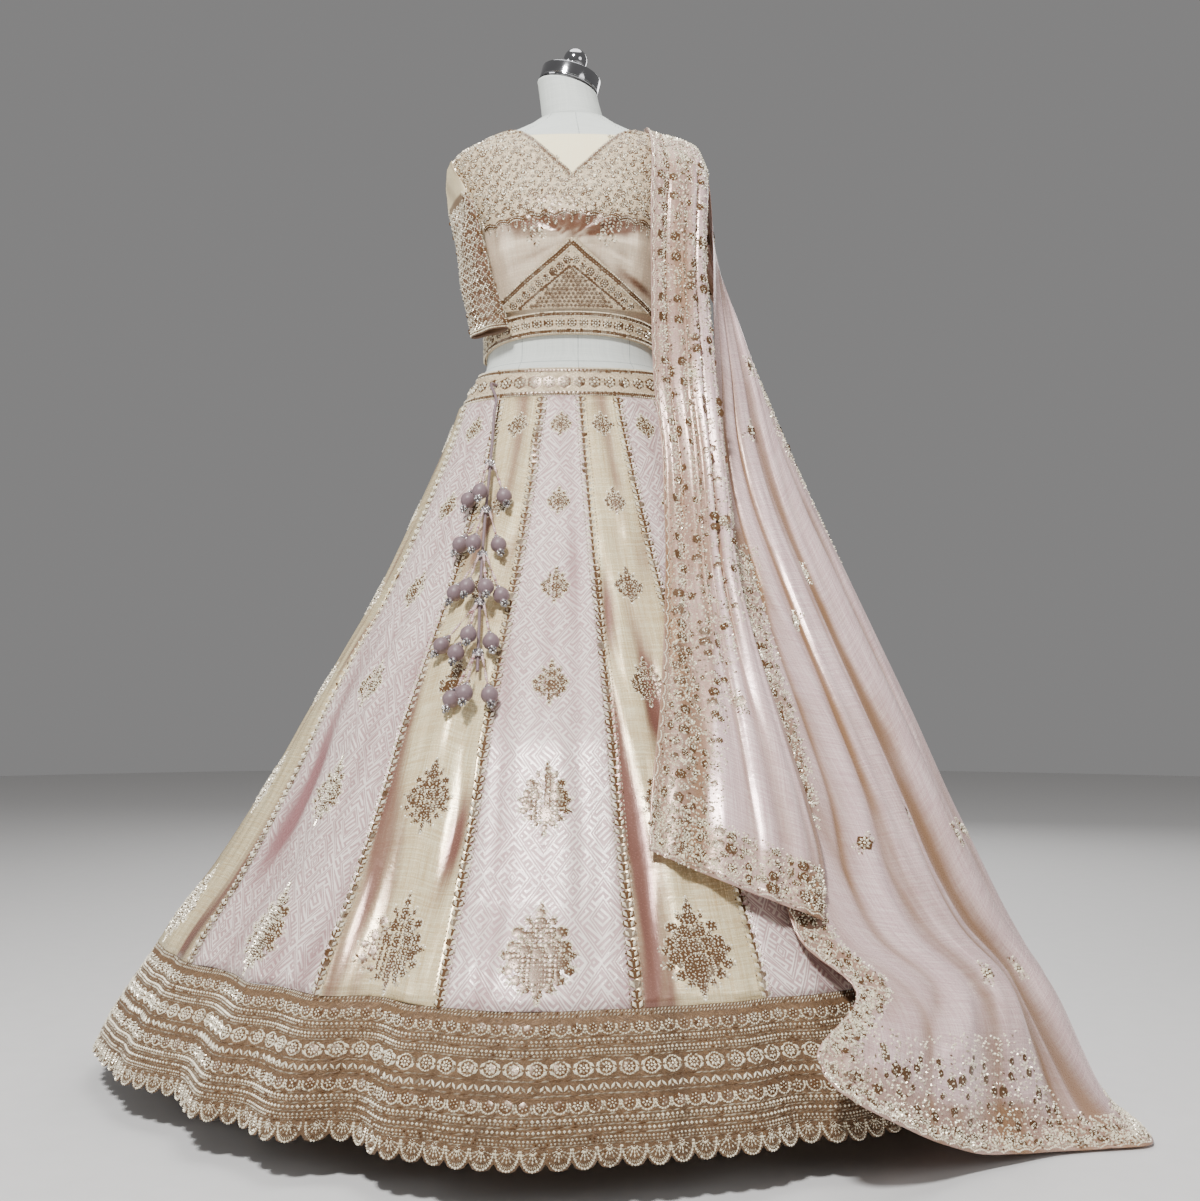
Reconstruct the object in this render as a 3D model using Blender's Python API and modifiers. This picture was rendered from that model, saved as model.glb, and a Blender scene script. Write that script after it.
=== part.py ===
"""Lehenga choli with its dupatta on a limbless dress form.

Metres, +Z up. The form faces -Y, the origin is on the floor under its pole.
An angle is measured about the pole from the front, growing towards +X.
"""

import math

import bpy
from mathutils import Euler, Vector

# Driving sizes
SEAM = 0.0003
CLOTH = 0.0014
SKIRT_CLOTH = 0.0020
BAND_CLOTH = 0.0026
TRIM_CLOTH = 0.0010
DUPATTA_CLOTH = 0.0018
TORSO_SQUARENESS = 2.3
TORSO_SIDES = 32
CHOLI_GAP = 0.0009
YOKE_GAP = 0.0036
YOKE_Z = 1.170
COLLAR_GAP = 0.0075
COLLAR_Z = 1.332
PANEL_GAP = 0.0031
BAND_GAP = 0.0012
WAISTBAND_GAP = 0.0010
SKIRT_TOP_Z = 0.9305
WAISTBAND_TOP_Z = 0.974
WAISTBAND_RISE = 0.0075
BORDER_TOP_Z = 0.178
HEM_Z = 0.043
SCALLOP_COUNT = 160
SCALLOP_DEPTH = 0.007
BASE_RADIUS = 0.19
BASE_THICK = 0.014
POLE_RADIUS = 0.0125
NECK_RADIUS = 0.0455
NECK_LEAN_X = -0.0095
NECK_TOP_Z = 1.4265
CAP_TILT = math.radians(14.0)
CAP_RADIUS = 0.0455
CAP_HEIGHT = 0.022
GASKET_HEIGHT = 0.003
KNOB_RADIUS = 0.018
KNOB_COLLAR = 0.008
KNOB_FOOT = 0.0125
KNOB_RISE = 0.022
FRONT_HEM_Z = 1.022
SIDE_HEM_Z = 1.002
HEM_BAND_OVERHANG = 0.0006
BALL_RADIUS = 0.0108
STRAND_RADIUS = 0.0018
HUB_RADIUS = 0.0072
HUB_HALF_HEIGHT = 0.005
STRAND_START = 0.0052

# Dress form sections: height, half width, depth in front, depth behind
TORSO_SECTIONS = (
    (0.735, 0.150, 0.096, 0.106),
    (0.780, 0.168, 0.106, 0.120),
    (0.860, 0.171, 0.106, 0.120),
    (0.930, 0.161, 0.100, 0.110),
    (0.974, 0.140, 0.092, 0.095),
    (0.992, 0.129, 0.089, 0.088),
    (1.020, 0.1285, 0.092, 0.086),
    (1.060, 0.132, 0.103, 0.088),
    (1.110, 0.140, 0.122, 0.093),
    (1.170, 0.148, 0.135, 0.098),
    (1.210, 0.158, 0.128, 0.100),
    (1.250, 0.170, 0.110, 0.100),
    (1.280, 0.179, 0.096, 0.095),
    (1.300, 0.181, 0.086, 0.088),
    (1.315, 0.171, 0.077, 0.080),
    (1.330, 0.145, 0.068, 0.073),
    (1.345, 0.112, 0.060, 0.067),
    (1.358, 0.078, 0.053, 0.060),
    (1.372, 0.055, 0.048, 0.052),
)

# Skirt sections: height, half width of the open cone
SKIRT_SECTIONS = (
    (0.043, 0.635),
    (0.093, 0.612),
    (0.155, 0.573),
    (0.200, 0.548),
    (0.277, 0.494),
    (0.415, 0.413),
    (0.480, 0.380),
    (0.560, 0.337),
    (0.655, 0.285),
    (0.770, 0.233),
    (0.890, 0.183),
    (0.931, 0.169),
)
SKIRT_FLATNESS_FRONT = 0.061
SKIRT_FLATNESS_BACK = 0.048
SKIRT_ROUND_Z = 0.45

# Skirt folds: angle at the hem, half breadth, reach out, height where it dies out
SKIRT_FOLDS = (
    (-75.0, 14.0, 0.016, 0.55),
    (-48.0, 10.0, -0.030, 0.50),
    (-35.0, 6.5, -0.020, 0.35),
    (-22.0, 6.5, -0.036, 0.42),
    (-5.0, 12.0, 0.018, 0.60),
    (16.0, 7.0, -0.008, 0.35),
    (23.5, 5.5, -0.020, 0.32),
    (45.0, 10.0, -0.026, 0.45),
    (80.0, 11.0, -0.028, 0.50),
    (101.0, 12.0, 0.016, 0.50),
    (124.0, 10.0, -0.028, 0.45),
    (147.0, 13.0, 0.018, 0.55),
    (169.0, 10.0, -0.030, 0.45),
    (192.0, 12.0, 0.018, 0.60),
    (214.0, 10.0, -0.026, 0.45),
    (238.0, 13.0, 0.018, 0.50),
    (262.0, 10.0, -0.026, 0.45),
)

# Skirt seams in front: angle at the waistband, angle at the hem
FRONT_SEAMS = (
    (-75.1, -55.0),
    (-49.4, -28.1),
    (-21.4, -13.0),
    (6.2, 8.2),
    (32.5, 23.3),
)
PANEL_COUNT = 14
PANEL_COLUMNS = 4
PANEL_HEIGHTS = (0.9305, 0.84, 0.74, 0.64, 0.54, 0.44, 0.34, 0.255, 0.1783)

# Choli half front: height, place of its side edge, place of its neck edge
FRONT_ROWS = (
    (1.020, 90.0, 0.0),
    (1.038, 90.0, 0.0),
    (1.060, 90.0, 0.0),
    (1.110, 90.0, 0.0),
    (1.170, 90.0, 0.0),
    (1.210, 81.0, 0.0),
    (1.250, 72.0, 0.0),
    (1.280, 73.0, 5.2),
    (1.300, 79.0, 9.7),
    (1.315, 86.0, 14.3),
    (1.328, 90.0, 21.5),
    (1.335, 90.0, 29.0),
    (1.341, 90.0, 42.0),
)
# Choli half back: height, place of its side edge, place of its middle edge
BACK_ROWS = (
    (1.020, 90.0, 180.0),
    (1.038, 90.0, 180.0),
    (1.060, 90.0, 180.0),
    (1.110, 90.0, 180.0),
    (1.170, 90.0, 180.0),
    (1.210, 99.0, 180.0),
    (1.250, 106.0, 180.0),
    (1.280, 104.0, 180.0),
    (1.300, 99.0, 180.0),
    (1.315, 93.0, 180.0),
    (1.328, 90.0, 180.0),
    (1.335, 90.0, 166.0),
    (1.341, 90.0, 150.0),
)
# Midriff panel: height, half its breadth as a place on the form
CHEVRON_ROWS = (
    (1.0560, 64.0),
    (1.0600, 57.0),
    (1.0720, 45.0),
    (1.0850, 33.5),
    (1.1100, 17.6),
    (1.1300, 8.0),
    (1.1490, 1.5),
)
# Cream cloth inside the neck: height, half its breadth as a place on the form
NECK_CLOTH_ROWS = (
    (1.242, 4.0),
    (1.262, 8.5),
    (1.282, 13.0),
    (1.300, 17.0),
    (1.314, 21.0),
    (1.328, 27.0),
)
HEM_BAND_HEIGHT = 0.032

# Sleeve rings: height, angle on the left, angle on the right, half breadth,
# half thickness, gap to the form
SLEEVE_RINGS = (
    (1.297, -85.0, 85.0, 0.030, 0.0024, 0.0050),
    (1.270, -82.0, 84.0, 0.042, 0.0030, 0.0062),
    (1.235, -76.0, 83.0, 0.050, 0.0060, 0.0062),
    (1.190, -68.0, 81.0, 0.050, 0.0095, 0.0060),
    (1.140, -64.0, 80.0, 0.046, 0.0115, 0.0055),
    (1.085, -62.0, 80.0, 0.043, 0.0120, 0.0060),
    (1.030, -61.0, 80.0, 0.041, 0.0110, 0.0068),
)
SLEEVE_SIDES = 14
SLEEVE_SPREAD = 24.0

# Dupatta front fall, a row down the cloth:
# inner height, angle, radius, then outer height, angle, radius
FRONT_FALL_ROWS = (
    (1.366, 89.84, 0.108, 1.339, 89.88, 0.174),
    (1.348, 68.0, 0.120, 1.320, 81.0, 0.188),
    (1.306, 51.6, 0.147, 1.292, 76.7, 0.199),
    (1.260, 45.0, 0.162, 1.250, 73.1, 0.208),
    (1.200, 42.5, 0.167, 1.190, 69.5, 0.209),
    (1.120, 42.5, 0.167, 1.110, 66.2, 0.211),
    (1.030, 42.5, 0.168, 1.020, 65.8, 0.219),
    (0.940, 42.0, 0.174, 0.930, 63.0, 0.231),
    (0.850, 40.0, 0.196, 0.840, 57.5, 0.251),
    (0.770, 35.5, 0.219, 0.760, 51.8, 0.275),
    (0.700, 30.3, 0.252, 0.680, 45.7, 0.308),
    (0.630, 25.2, 0.291, 0.600, 42.5, 0.346),
    (0.560, 20.5, 0.339, 0.520, 40.3, 0.390),
    (0.490, 16.8, 0.388, 0.440, 39.3, 0.433),
    (0.430, 14.0, 0.428, 0.370, 38.0, 0.473),
    (0.380, 12.4, 0.455, 0.310, 36.5, 0.506),
    (0.333, 11.4, 0.482, 0.252, 32.7, 0.542),
)
# Front fall folds: place across the cloth, half breadth, reach out, row where it starts
FRONT_FALL_FOLDS = (
    (0.18, 0.11, 0.006, 1),
    (0.44, 0.12, 0.008, 1),
    (0.66, 0.10, 0.007, 0),
    (0.86, 0.10, 0.009, 1),
)
FRONT_FALL_COLUMNS = 12

# Dupatta side fall, a row down the cloth:
# inner height, angle, radius, then outer height, angle, radius
SIDE_FALL_ROWS = (
    (1.339, 90.12, 0.174, 1.366, 90.16, 0.108),
    (1.318, 90.6, 0.190, 1.342, 110.9, 0.1272),
    (1.285, 87.6, 0.203, 1.305, 121.3, 0.1687),
    (1.240, 84.3, 0.208, 1.250, 122.5, 0.200),
    (1.170, 81.5, 0.211, 1.170, 118.8, 0.228),
    (1.080, 77.5, 0.213, 1.080, 114.2, 0.269),
    (0.980, 72.5, 0.218, 0.980, 110.2, 0.304),
    (0.880, 67.3, 0.221, 0.880, 107.1, 0.340),
    (0.780, 58.5, 0.241, 0.780, 104.6, 0.377),
    (0.680, 49.0, 0.283, 0.680, 102.5, 0.415),
    (0.580, 43.2, 0.333, 0.580, 101.0, 0.455),
    (0.480, 39.8, 0.388, 0.480, 99.8, 0.497),
    (0.380, 35.9, 0.446, 0.370, 98.9, 0.540),
    (0.300, 30.4, 0.494, 0.280, 98.3, 0.578),
    (0.235, 28.7, 0.545, 0.205, 97.8, 0.610),
    (0.185, 31.9, 0.601, 0.145, 97.4, 0.640),
    (0.150, 23.6, 0.655, 0.095, 97.0, 0.662),
)
# Side fall edge on the floor: place across the cloth, x, y, height
SIDE_FALL_EDGE = (
    (0.00, 0.263, -0.625, 0.128),
    (0.06, 0.286, -0.630, 0.106),
    (0.12, 0.328, -0.612, 0.082),
    (0.18, 0.370, -0.585, 0.056),
    (0.24, 0.412, -0.552, 0.034),
    (0.30, 0.456, -0.520, 0.016),
    (0.40, 0.558, -0.465, 0.004),
    (0.46, 0.604, -0.460, 0.004),
    (0.53, 0.664, -0.441, 0.004),
    (0.60, 0.677, -0.372, 0.004),
    (0.67, 0.666, -0.300, 0.004),
    (0.75, 0.662, -0.220, 0.004),
    (0.84, 0.672, -0.120, 0.004),
    (0.92, 0.678, -0.020, 0.004),
    (1.00, 0.682, 0.080, 0.004),
)
# Side fall folds: place across the cloth, half breadth, reach out, row where it starts
SIDE_FALL_FOLDS = (
    (0.12, 0.06, 0.006, 7),
    (0.24, 0.07, 0.012, 3),
    (0.37, 0.07, 0.015, 2),
    (0.50, 0.06, -0.014, 4),
    (0.60, 0.07, 0.016, 1),
    (0.73, 0.06, -0.012, 5),
    (0.84, 0.07, 0.014, 2),
)
SIDE_FALL_COLUMNS = 21
FALL_CLEARANCE = 0.005

# Waist tie: height and distance to the side of each point down the cord
CORD_POINTS = (
    (0.926, -0.107),
    (0.905, -0.109),
    (0.850, -0.110),
    (0.790, -0.112),
    (0.720, -0.114),
    (0.650, -0.114),
    (0.590, -0.112),
    (0.535, -0.110),
)
CORD_RADIUS = 0.0021
CORD_EXIT_PLACE = -41.0
CORD_EXIT_Z = 0.952
CORD_EXIT_REACH = 0.011
CORD_REACH = 0.0185
# Waist tie tiers: height of the hub, then for each ball its side shift, drop and reach out
TIERS = (
    (0.822, ((-0.028, 0.051, 0.000), (-0.010, 0.043, 0.018), (0.022, 0.049, 0.000))),
    (0.752, ((-0.033, 0.046, 0.000), (-0.012, 0.047, 0.019), (0.020, 0.049, 0.000))),
    (0.688, ((-0.034, 0.050, 0.000), (-0.016, 0.044, 0.018), (0.009, 0.045, 0.019), (0.028, 0.055, 0.000))),
    (0.622, ((-0.046, 0.054, 0.000), (-0.025, 0.064, 0.010), (-0.010, 0.041, 0.018), (0.018, 0.050, 0.003))),
    (0.556, ((-0.030, 0.055, 0.000), (-0.012, 0.048, 0.015), (0.018, 0.050, 0.003))),
)


def lerp(a, b, share):
    return a + (b - a) * share


def look_up(rows, key, column):
    """Value of a column at a key, straight between the rows of a rising table."""
    if key <= rows[0][0]:
        return rows[0][column]
    for low, high in zip(rows, rows[1:]):
        if key <= high[0]:
            share = (key - low[0]) / (high[0] - low[0])
            return lerp(low[column], high[column], share)
    return rows[-1][column]


def bump(offset, half_breadth):
    """A smooth hill from 0 at the half breadth to 1 in the middle."""
    share = abs(offset) / half_breadth
    if share >= 1.0:
        return 0.0
    return 0.5 + 0.5 * math.cos(math.pi * share)


def polar(angle, radius, z):
    """Point at an angle in degrees and a radius about the pole."""
    turn = math.radians(angle)
    return Vector((radius * math.sin(turn), -radius * math.cos(turn), z))


def torso_radius(angle, z):
    """Radius of the dress form."""
    turn = math.radians(angle)
    half_width = look_up(TORSO_SECTIONS, z, 1)
    depth = look_up(TORSO_SECTIONS, z, 2 if math.cos(turn) >= 0.0 else 3)
    across = (abs(math.sin(turn)) / half_width) ** TORSO_SQUARENESS
    along = (abs(math.cos(turn)) / depth) ** TORSO_SQUARENESS
    return (across + along) ** (-1.0 / TORSO_SQUARENESS)


def torso_point(place, z, out):
    """Point a distance out from the form; its places are closer together at the sides."""
    turn = math.radians(place)
    sine, cosine = math.sin(turn), math.cos(turn)
    half_width = look_up(TORSO_SECTIONS, z, 1) + out
    depth = look_up(TORSO_SECTIONS, z, 2 if cosine >= 0.0 else 3) + out
    power = 2.0 / TORSO_SQUARENESS
    x = math.copysign(abs(sine) ** power, sine) * half_width
    y = math.copysign(abs(cosine) ** power, -cosine) * depth
    return Vector((x, y, z))


def sleeve_reach(angle, z):
    """How far the right sleeve stands out from the form."""
    if z < SLEEVE_RINGS[-1][0] or z > SLEEVE_RINGS[0][0]:
        return 0.0
    rings = tuple(reversed(SLEEVE_RINGS))
    if abs(angle - look_up(rings, z, 2)) > SLEEVE_SPREAD:
        return 0.0
    return 2.0 * look_up(rings, z, 4) + look_up(rings, z, 5)


def skirt_radius(angle, z):
    """Radius of the skirt's inner face, with its folds."""
    turn = math.radians(angle)
    half_width = look_up(SKIRT_SECTIONS, z, 1)
    rise = min(1.0, max(0.0, (z - SKIRT_ROUND_Z) / (SKIRT_TOP_Z - SKIRT_ROUND_Z)))
    flatness = SKIRT_FLATNESS_FRONT if math.cos(turn) >= 0.0 else SKIRT_FLATNESS_BACK
    depth = half_width - flatness * rise
    radius = 1.0 / math.hypot(math.sin(turn) / half_width, math.cos(turn) / depth)
    for fold_angle, half_breadth, reach, top_z in SKIRT_FOLDS:
        offset = (angle - fold_angle + 180.0) % 360.0 - 180.0
        strength = max(0.0, (top_z - z) / (top_z - HEM_Z))
        radius += reach * bump(offset, half_breadth) * min(1.0, strength)
    return radius


def body_radius(angle, z):
    """Outer radius of what the dupatta lies on."""
    if z > SKIRT_TOP_Z:
        return torso_radius(angle, z) + BAND_CLOTH + CLOTH + sleeve_reach(angle, z)
    return skirt_radius(angle, z) + SKIRT_CLOTH


def clear_scene():
    for item in list(bpy.data.objects):
        bpy.data.objects.remove(item, do_unlink=True)


def finish(name, colour, roughness, metallic=0.0):
    """A plain Principled material."""
    material = bpy.data.materials.new(name)
    material.use_nodes = True
    shader = material.node_tree.nodes["Principled BSDF"]
    shader.inputs["Base Color"].default_value = (*colour, 1.0)
    shader.inputs["Roughness"].default_value = roughness
    shader.inputs["Metallic"].default_value = metallic
    return material


class Workshop:
    """The collection and the finishes that the pieces share."""

    def __init__(self):
        self.collection = bpy.data.collections.new("lehenga_choli")
        bpy.context.scene.collection.children.link(self.collection)
        self.finishes = {
            "linen": finish("linen", (0.62, 0.65, 0.63), 0.85),
            "chrome": finish("chrome", (0.80, 0.80, 0.82), 0.12, 1.0),
            "rubber": finish("rubber", (0.02, 0.02, 0.02), 0.60),
            "satin": finish("satin", (0.86, 0.72, 0.58), 0.45),
            "embroidery": finish("embroidery", (0.66, 0.52, 0.36), 0.50, 0.2),
            "brocade": finish("brocade", (0.83, 0.66, 0.64), 0.50),
            "tissue": finish("tissue", (0.84, 0.74, 0.56), 0.40, 0.1),
            "dupatta": finish("dupatta", (0.74, 0.55, 0.56), 0.45),
            "tie": finish("tie", (0.60, 0.42, 0.42), 0.60),
        }

    def keep(self, item, look):
        """Put an object in the collection with its own copy of a finish."""
        for collection in list(item.users_collection):
            collection.objects.unlink(item)
        self.collection.objects.link(item)
        material = self.finishes[look].copy()
        material.name = f"{item.name}_{look}"
        item.data.materials.clear()
        item.data.materials.append(material)
        return item

    def mesh(self, name, points, faces, look):
        """An object from points and faces, shaded smooth."""
        data = bpy.data.meshes.new(name)
        data.from_pydata([tuple(p) for p in points], [], faces)
        data.update()
        data.shade_smooth()
        item = bpy.data.objects.new(name, data)
        return self.keep(item, look)

    def wall(self, name, points, faces, look, thick):
        """A cloth wall: an open surface thickened outwards."""
        item = self.mesh(name, points, faces, look)
        solidify = item.modifiers.new("wall", "SOLIDIFY")
        solidify.thickness = thick
        solidify.offset = 1.0
        return item

    def shell(self, name, inner, outer, faces, look):
        """A closed cloth wall between two like sets of points."""
        count = len(inner)
        sides = [tuple(count + i for i in face) for face in faces]
        sides += [tuple(reversed(face)) for face in faces]
        used = {(a, b) for face in faces for a, b in zip(face, face[1:] + face[:1])}
        for a, b in used:
            if (b, a) not in used:
                sides.append((a, b, count + b, count + a))
        sides.sort()
        return self.mesh(name, list(inner) + list(outer), sides, look)

    def turned(self, name, profile, look, steps):
        """A solid turned about Z from (radius, height) points, listed top to bottom."""
        data = bpy.data.meshes.new(name)
        edges = [(i, i + 1) for i in range(len(profile) - 1)]
        data.from_pydata([(r, 0.0, z) for r, z in profile], edges, [])
        item = self.keep(bpy.data.objects.new(name, data), look)
        screw = item.modifiers.new("turn", "SCREW")
        screw.steps = steps
        screw.render_steps = steps
        screw.use_merge_vertices = True
        screw.merge_threshold = 0.00001
        screw.use_smooth_shade = True
        return item

    def cylinder(self, name, radius, height, centre, look, sides=32):
        bpy.ops.mesh.primitive_cylinder_add(
            vertices=sides, radius=radius, depth=height, location=centre
        )
        item = bpy.context.object
        item.name = name
        item.data.name = name
        return self.keep(item, look)


def strip_faces(row_count, column_count, closed=False):
    """Faces of a grid whose rows run upwards and whose columns run towards +X."""
    faces = []
    spans = column_count if closed else column_count - 1
    for row in range(row_count - 1):
        for column in range(spans):
            right = (column + 1) % column_count
            low = row * column_count
            high = low + column_count
            faces.append((low + column, low + right, high + right, high + column))
    return faces


def build_torso(shop):
    """The padded form, a loft through its sections."""
    points = []
    for z, *_ in TORSO_SECTIONS:
        for side in range(TORSO_SIDES):
            points.append(torso_point(360.0 * side / TORSO_SIDES, z, 0.0))
    faces = strip_faces(len(TORSO_SECTIONS), TORSO_SIDES, closed=True)
    top = (len(TORSO_SECTIONS) - 1) * TORSO_SIDES
    faces.append(tuple(reversed(range(TORSO_SIDES))))
    faces.append(tuple(range(top, top + TORSO_SIDES)))
    shop.mesh("form_torso", points, faces, "linen")


def build_neck(shop):
    """The neck, with its slanted top, and the tilted gasket, cap and knob on it."""
    sides = 28
    foot_z = TORSO_SECTIONS[-1][0] + SEAM
    crown = Vector((NECK_LEAN_X, 0.0, NECK_TOP_Z))
    points = []
    for share in (0.0, 0.2, 0.5, 1.0):
        radius = lerp(NECK_RADIUS + 0.0015, NECK_RADIUS, share)
        slope = math.tan(CAP_TILT) * share
        for side in range(sides):
            turn = 2.0 * math.pi * side / sides
            x = radius * math.sin(turn)
            y = -radius * math.cos(turn)
            z = lerp(foot_z, crown.z, share) - slope * x
            points.append((x + NECK_LEAN_X * share, y, z))
    faces = strip_faces(4, sides, closed=True)
    faces.append(tuple(reversed(range(sides))))
    faces.append(tuple(range(3 * sides, 4 * sides)))
    shop.mesh("form_neck", points, faces, "linen")

    lean = Euler((0.0, CAP_TILT, 0.0))
    axis = Vector((math.sin(CAP_TILT), 0.0, math.cos(CAP_TILT)))
    gasket_at = crown + axis * (SEAM + GASKET_HEIGHT / 2.0)
    cap_at = gasket_at + axis * (GASKET_HEIGHT / 2.0 + SEAM + CAP_HEIGHT / 2.0)
    knob_at = cap_at + axis * (CAP_HEIGHT / 2.0 + SEAM)
    gasket = shop.cylinder("form_gasket", CAP_RADIUS - 0.0008, GASKET_HEIGHT, gasket_at, "rubber")
    gasket.rotation_euler = lean
    cap = shop.cylinder("form_cap", CAP_RADIUS, CAP_HEIGHT, cap_at, "chrome", sides=40)
    cap.rotation_euler = lean
    edge = cap.modifiers.new("edge", "BEVEL")
    edge.width = 0.0016
    edge.segments = 1

    profile = [(0.0, KNOB_RISE + KNOB_RADIUS)]
    for step in range(1, 6):
        turn = math.radians(30.0 * step)
        radius = KNOB_RADIUS * math.sin(turn)
        if radius > KNOB_COLLAR:
            profile.append((radius, KNOB_RISE + KNOB_RADIUS * math.cos(turn)))
    profile += [(KNOB_COLLAR, 0.0055), (KNOB_FOOT, 0.003), (KNOB_FOOT, 0.0), (0.0, 0.0)]
    knob = shop.turned("form_knob", profile, "chrome", 16)
    knob.location = knob_at
    knob.rotation_euler = lean


def build_stand(shop):
    """The flat base and the pole up to the form."""
    pole_foot = BASE_THICK + SEAM
    pole_top = TORSO_SECTIONS[0][0] - SEAM
    shop.cylinder("stand_base", BASE_RADIUS, BASE_THICK, (0, 0, BASE_THICK / 2.0), "chrome", 48)
    middle = (0, 0, (pole_foot + pole_top) / 2.0)
    shop.cylinder("stand_pole", POLE_RADIUS, pole_top - pole_foot, middle, "chrome", 20)


def hem_height(place):
    """The choli's hem dips towards the sides."""
    return lerp(SIDE_HEM_Z, FRONT_HEM_Z, abs(math.cos(math.radians(place))))


def choli_gap(z):
    """The choli lies close below the bust, looser above it and loosest at the neck."""
    yoke = min(1.0, max(0.0, (z - YOKE_Z) / 0.02))
    collar = min(1.0, max(0.0, (z - COLLAR_Z) / 0.01))
    return lerp(lerp(CHOLI_GAP, YOKE_GAP, yoke), COLLAR_GAP, collar)


def half_wall_points(rows, columns, side, out):
    """Points of one half of the choli's front or back, at a distance out from the form."""
    points = []
    for number, (z, side_place, inner_place) in enumerate(rows):
        for column in range(columns + 1):
            place = lerp(side_place, inner_place, column / columns)
            point = torso_point(side * place, z, choli_gap(z) + out)
            if number == 0:
                point = torso_point(side * place, hem_height(place), CHOLI_GAP + out)
            if column == 0 and abs(side_place - 90.0) < 0.1:
                point.y += -SEAM / 2.0 if inner_place < 90.0 else SEAM / 2.0
            points.append(point)
    return points


def build_half_walls(shop, name, rows, look):
    """A wall of two mirrored halves that share their middle edge where they meet."""
    columns = TORSO_SIDES // 4
    inner = []
    outer = []
    faces = []
    front = rows[0][2] < 90.0
    places = {}
    for side in (-1.0, 1.0):
        inner_half = half_wall_points(rows, columns, side, 0.0)
        outer_half = half_wall_points(rows, columns, side, CLOTH)
        numbers = []
        for point, above in zip(inner_half, outer_half):
            key = tuple(round(value, 6) for value in point)
            if key not in places:
                places[key] = len(inner)
                inner.append(point)
                outer.append(above)
            numbers.append(places[key])
        for face in strip_faces(len(rows), columns + 1):
            face = tuple(numbers[i] for i in face)
            faces.append(tuple(reversed(face)) if (side > 0.0) == front else face)
    return shop.shell(name, inner, outer, faces, look)


def build_front_patch(shop, name, rows, out, thick, look):
    """A wall across the front, from rows of a height and half a breadth."""
    columns = 14
    layers = []
    for reach in (out, out + thick):
        points = []
        for z, half_breadth in rows:
            for column in range(columns + 1):
                place = lerp(-half_breadth, half_breadth, column / columns)
                points.append(torso_point(place, z, reach))
        layers.append(points)
    faces = strip_faces(len(rows), columns + 1)
    shop.shell(name, *layers, faces, look)


def build_choli(shop):
    """Front, back, cloth inside the neck, midriff panel and hem band."""
    build_half_walls(shop, "choli_front", FRONT_ROWS, "embroidery")
    build_half_walls(shop, "choli_back", BACK_ROWS, "satin")
    build_front_patch(shop, "choli_neck_cloth", NECK_CLOTH_ROWS, CHOLI_GAP, CLOTH, "satin")
    panel_out = CHOLI_GAP + CLOTH + PANEL_GAP
    build_front_patch(shop, "choli_midriff_panel", CHEVRON_ROWS, panel_out, TRIM_CLOTH, "embroidery")

    layers = []
    for out in (0.0, TRIM_CLOTH):
        points = []
        for share in (0.0, 0.5, 1.0):
            for side in range(TORSO_SIDES):
                place = 360.0 * side / TORSO_SIDES
                z = hem_height(place) - HEM_BAND_OVERHANG + HEM_BAND_HEIGHT * share
                points.append(torso_point(place, z, CHOLI_GAP + CLOTH + BAND_GAP + out))
        layers.append(points)
    faces = strip_faces(3, TORSO_SIDES, closed=True)
    shop.shell("choli_hem_band", *layers, faces, "embroidery")


def build_sleeve(shop, name, angle_column):
    """An empty sleeve: a flattened open tube that hangs against the form's side."""
    points = []
    for ring in reversed(SLEEVE_RINGS):
        z = ring[0]
        angle = ring[angle_column]
        half_breadth, half_thick, gap = ring[3:]
        surface = polar(angle, torso_radius(angle, z), z)
        step = 1.0
        along = polar(angle + step, torso_radius(angle + step, z), z)
        along = (along - polar(angle - step, torso_radius(angle - step, z), z)).normalized()
        outward = along.cross(Vector((0.0, 0.0, 1.0)))
        centre = surface + outward * (gap + half_thick)
        for side in range(SLEEVE_SIDES):
            turn = 2.0 * math.pi * side / SLEEVE_SIDES
            across = along * (half_breadth * math.sin(turn))
            lift = outward * (half_thick * math.cos(turn))
            points.append(centre + across + lift)
    faces = strip_faces(len(SLEEVE_RINGS), SLEEVE_SIDES, closed=True)
    item = shop.wall(name, points, faces, "embroidery", CLOTH * 0.8)
    item.modifiers["wall"].offset = -1.0


def waistband_lift(angle):
    """The waistband sits lower in front than behind."""
    return WAISTBAND_RISE * (1.0 - math.cos(math.radians(angle)))


def build_waistband(shop):
    layers = []
    for out in (WAISTBAND_GAP, WAISTBAND_GAP + BAND_CLOTH):
        points = []
        for share in (0.0, 0.5, 1.0):
            for side in range(TORSO_SIDES):
                place = 360.0 * side / TORSO_SIDES
                z = lerp(SKIRT_TOP_Z + SEAM, WAISTBAND_TOP_Z, share) + waistband_lift(place) * share
                points.append(torso_point(place, z, out))
        layers.append(points)
    faces = strip_faces(3, TORSO_SIDES, closed=True)
    shop.shell("lehenga_waistband", *layers, faces, "embroidery")


def seam_table():
    """Angles of all the seams at the waistband and at the hem, once round."""
    first_top, first_hem = FRONT_SEAMS[0]
    last_top, last_hem = FRONT_SEAMS[-1]
    seams = list(FRONT_SEAMS)
    hidden = PANEL_COUNT - len(FRONT_SEAMS) + 1
    for number in range(1, hidden):
        share = number / hidden
        top = lerp(last_top, first_top + 360.0, share)
        hem = lerp(last_hem, first_hem + 360.0, share)
        seams.append((top, hem))
    seams.append((first_top + 360.0, first_hem + 360.0))
    return seams


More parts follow.
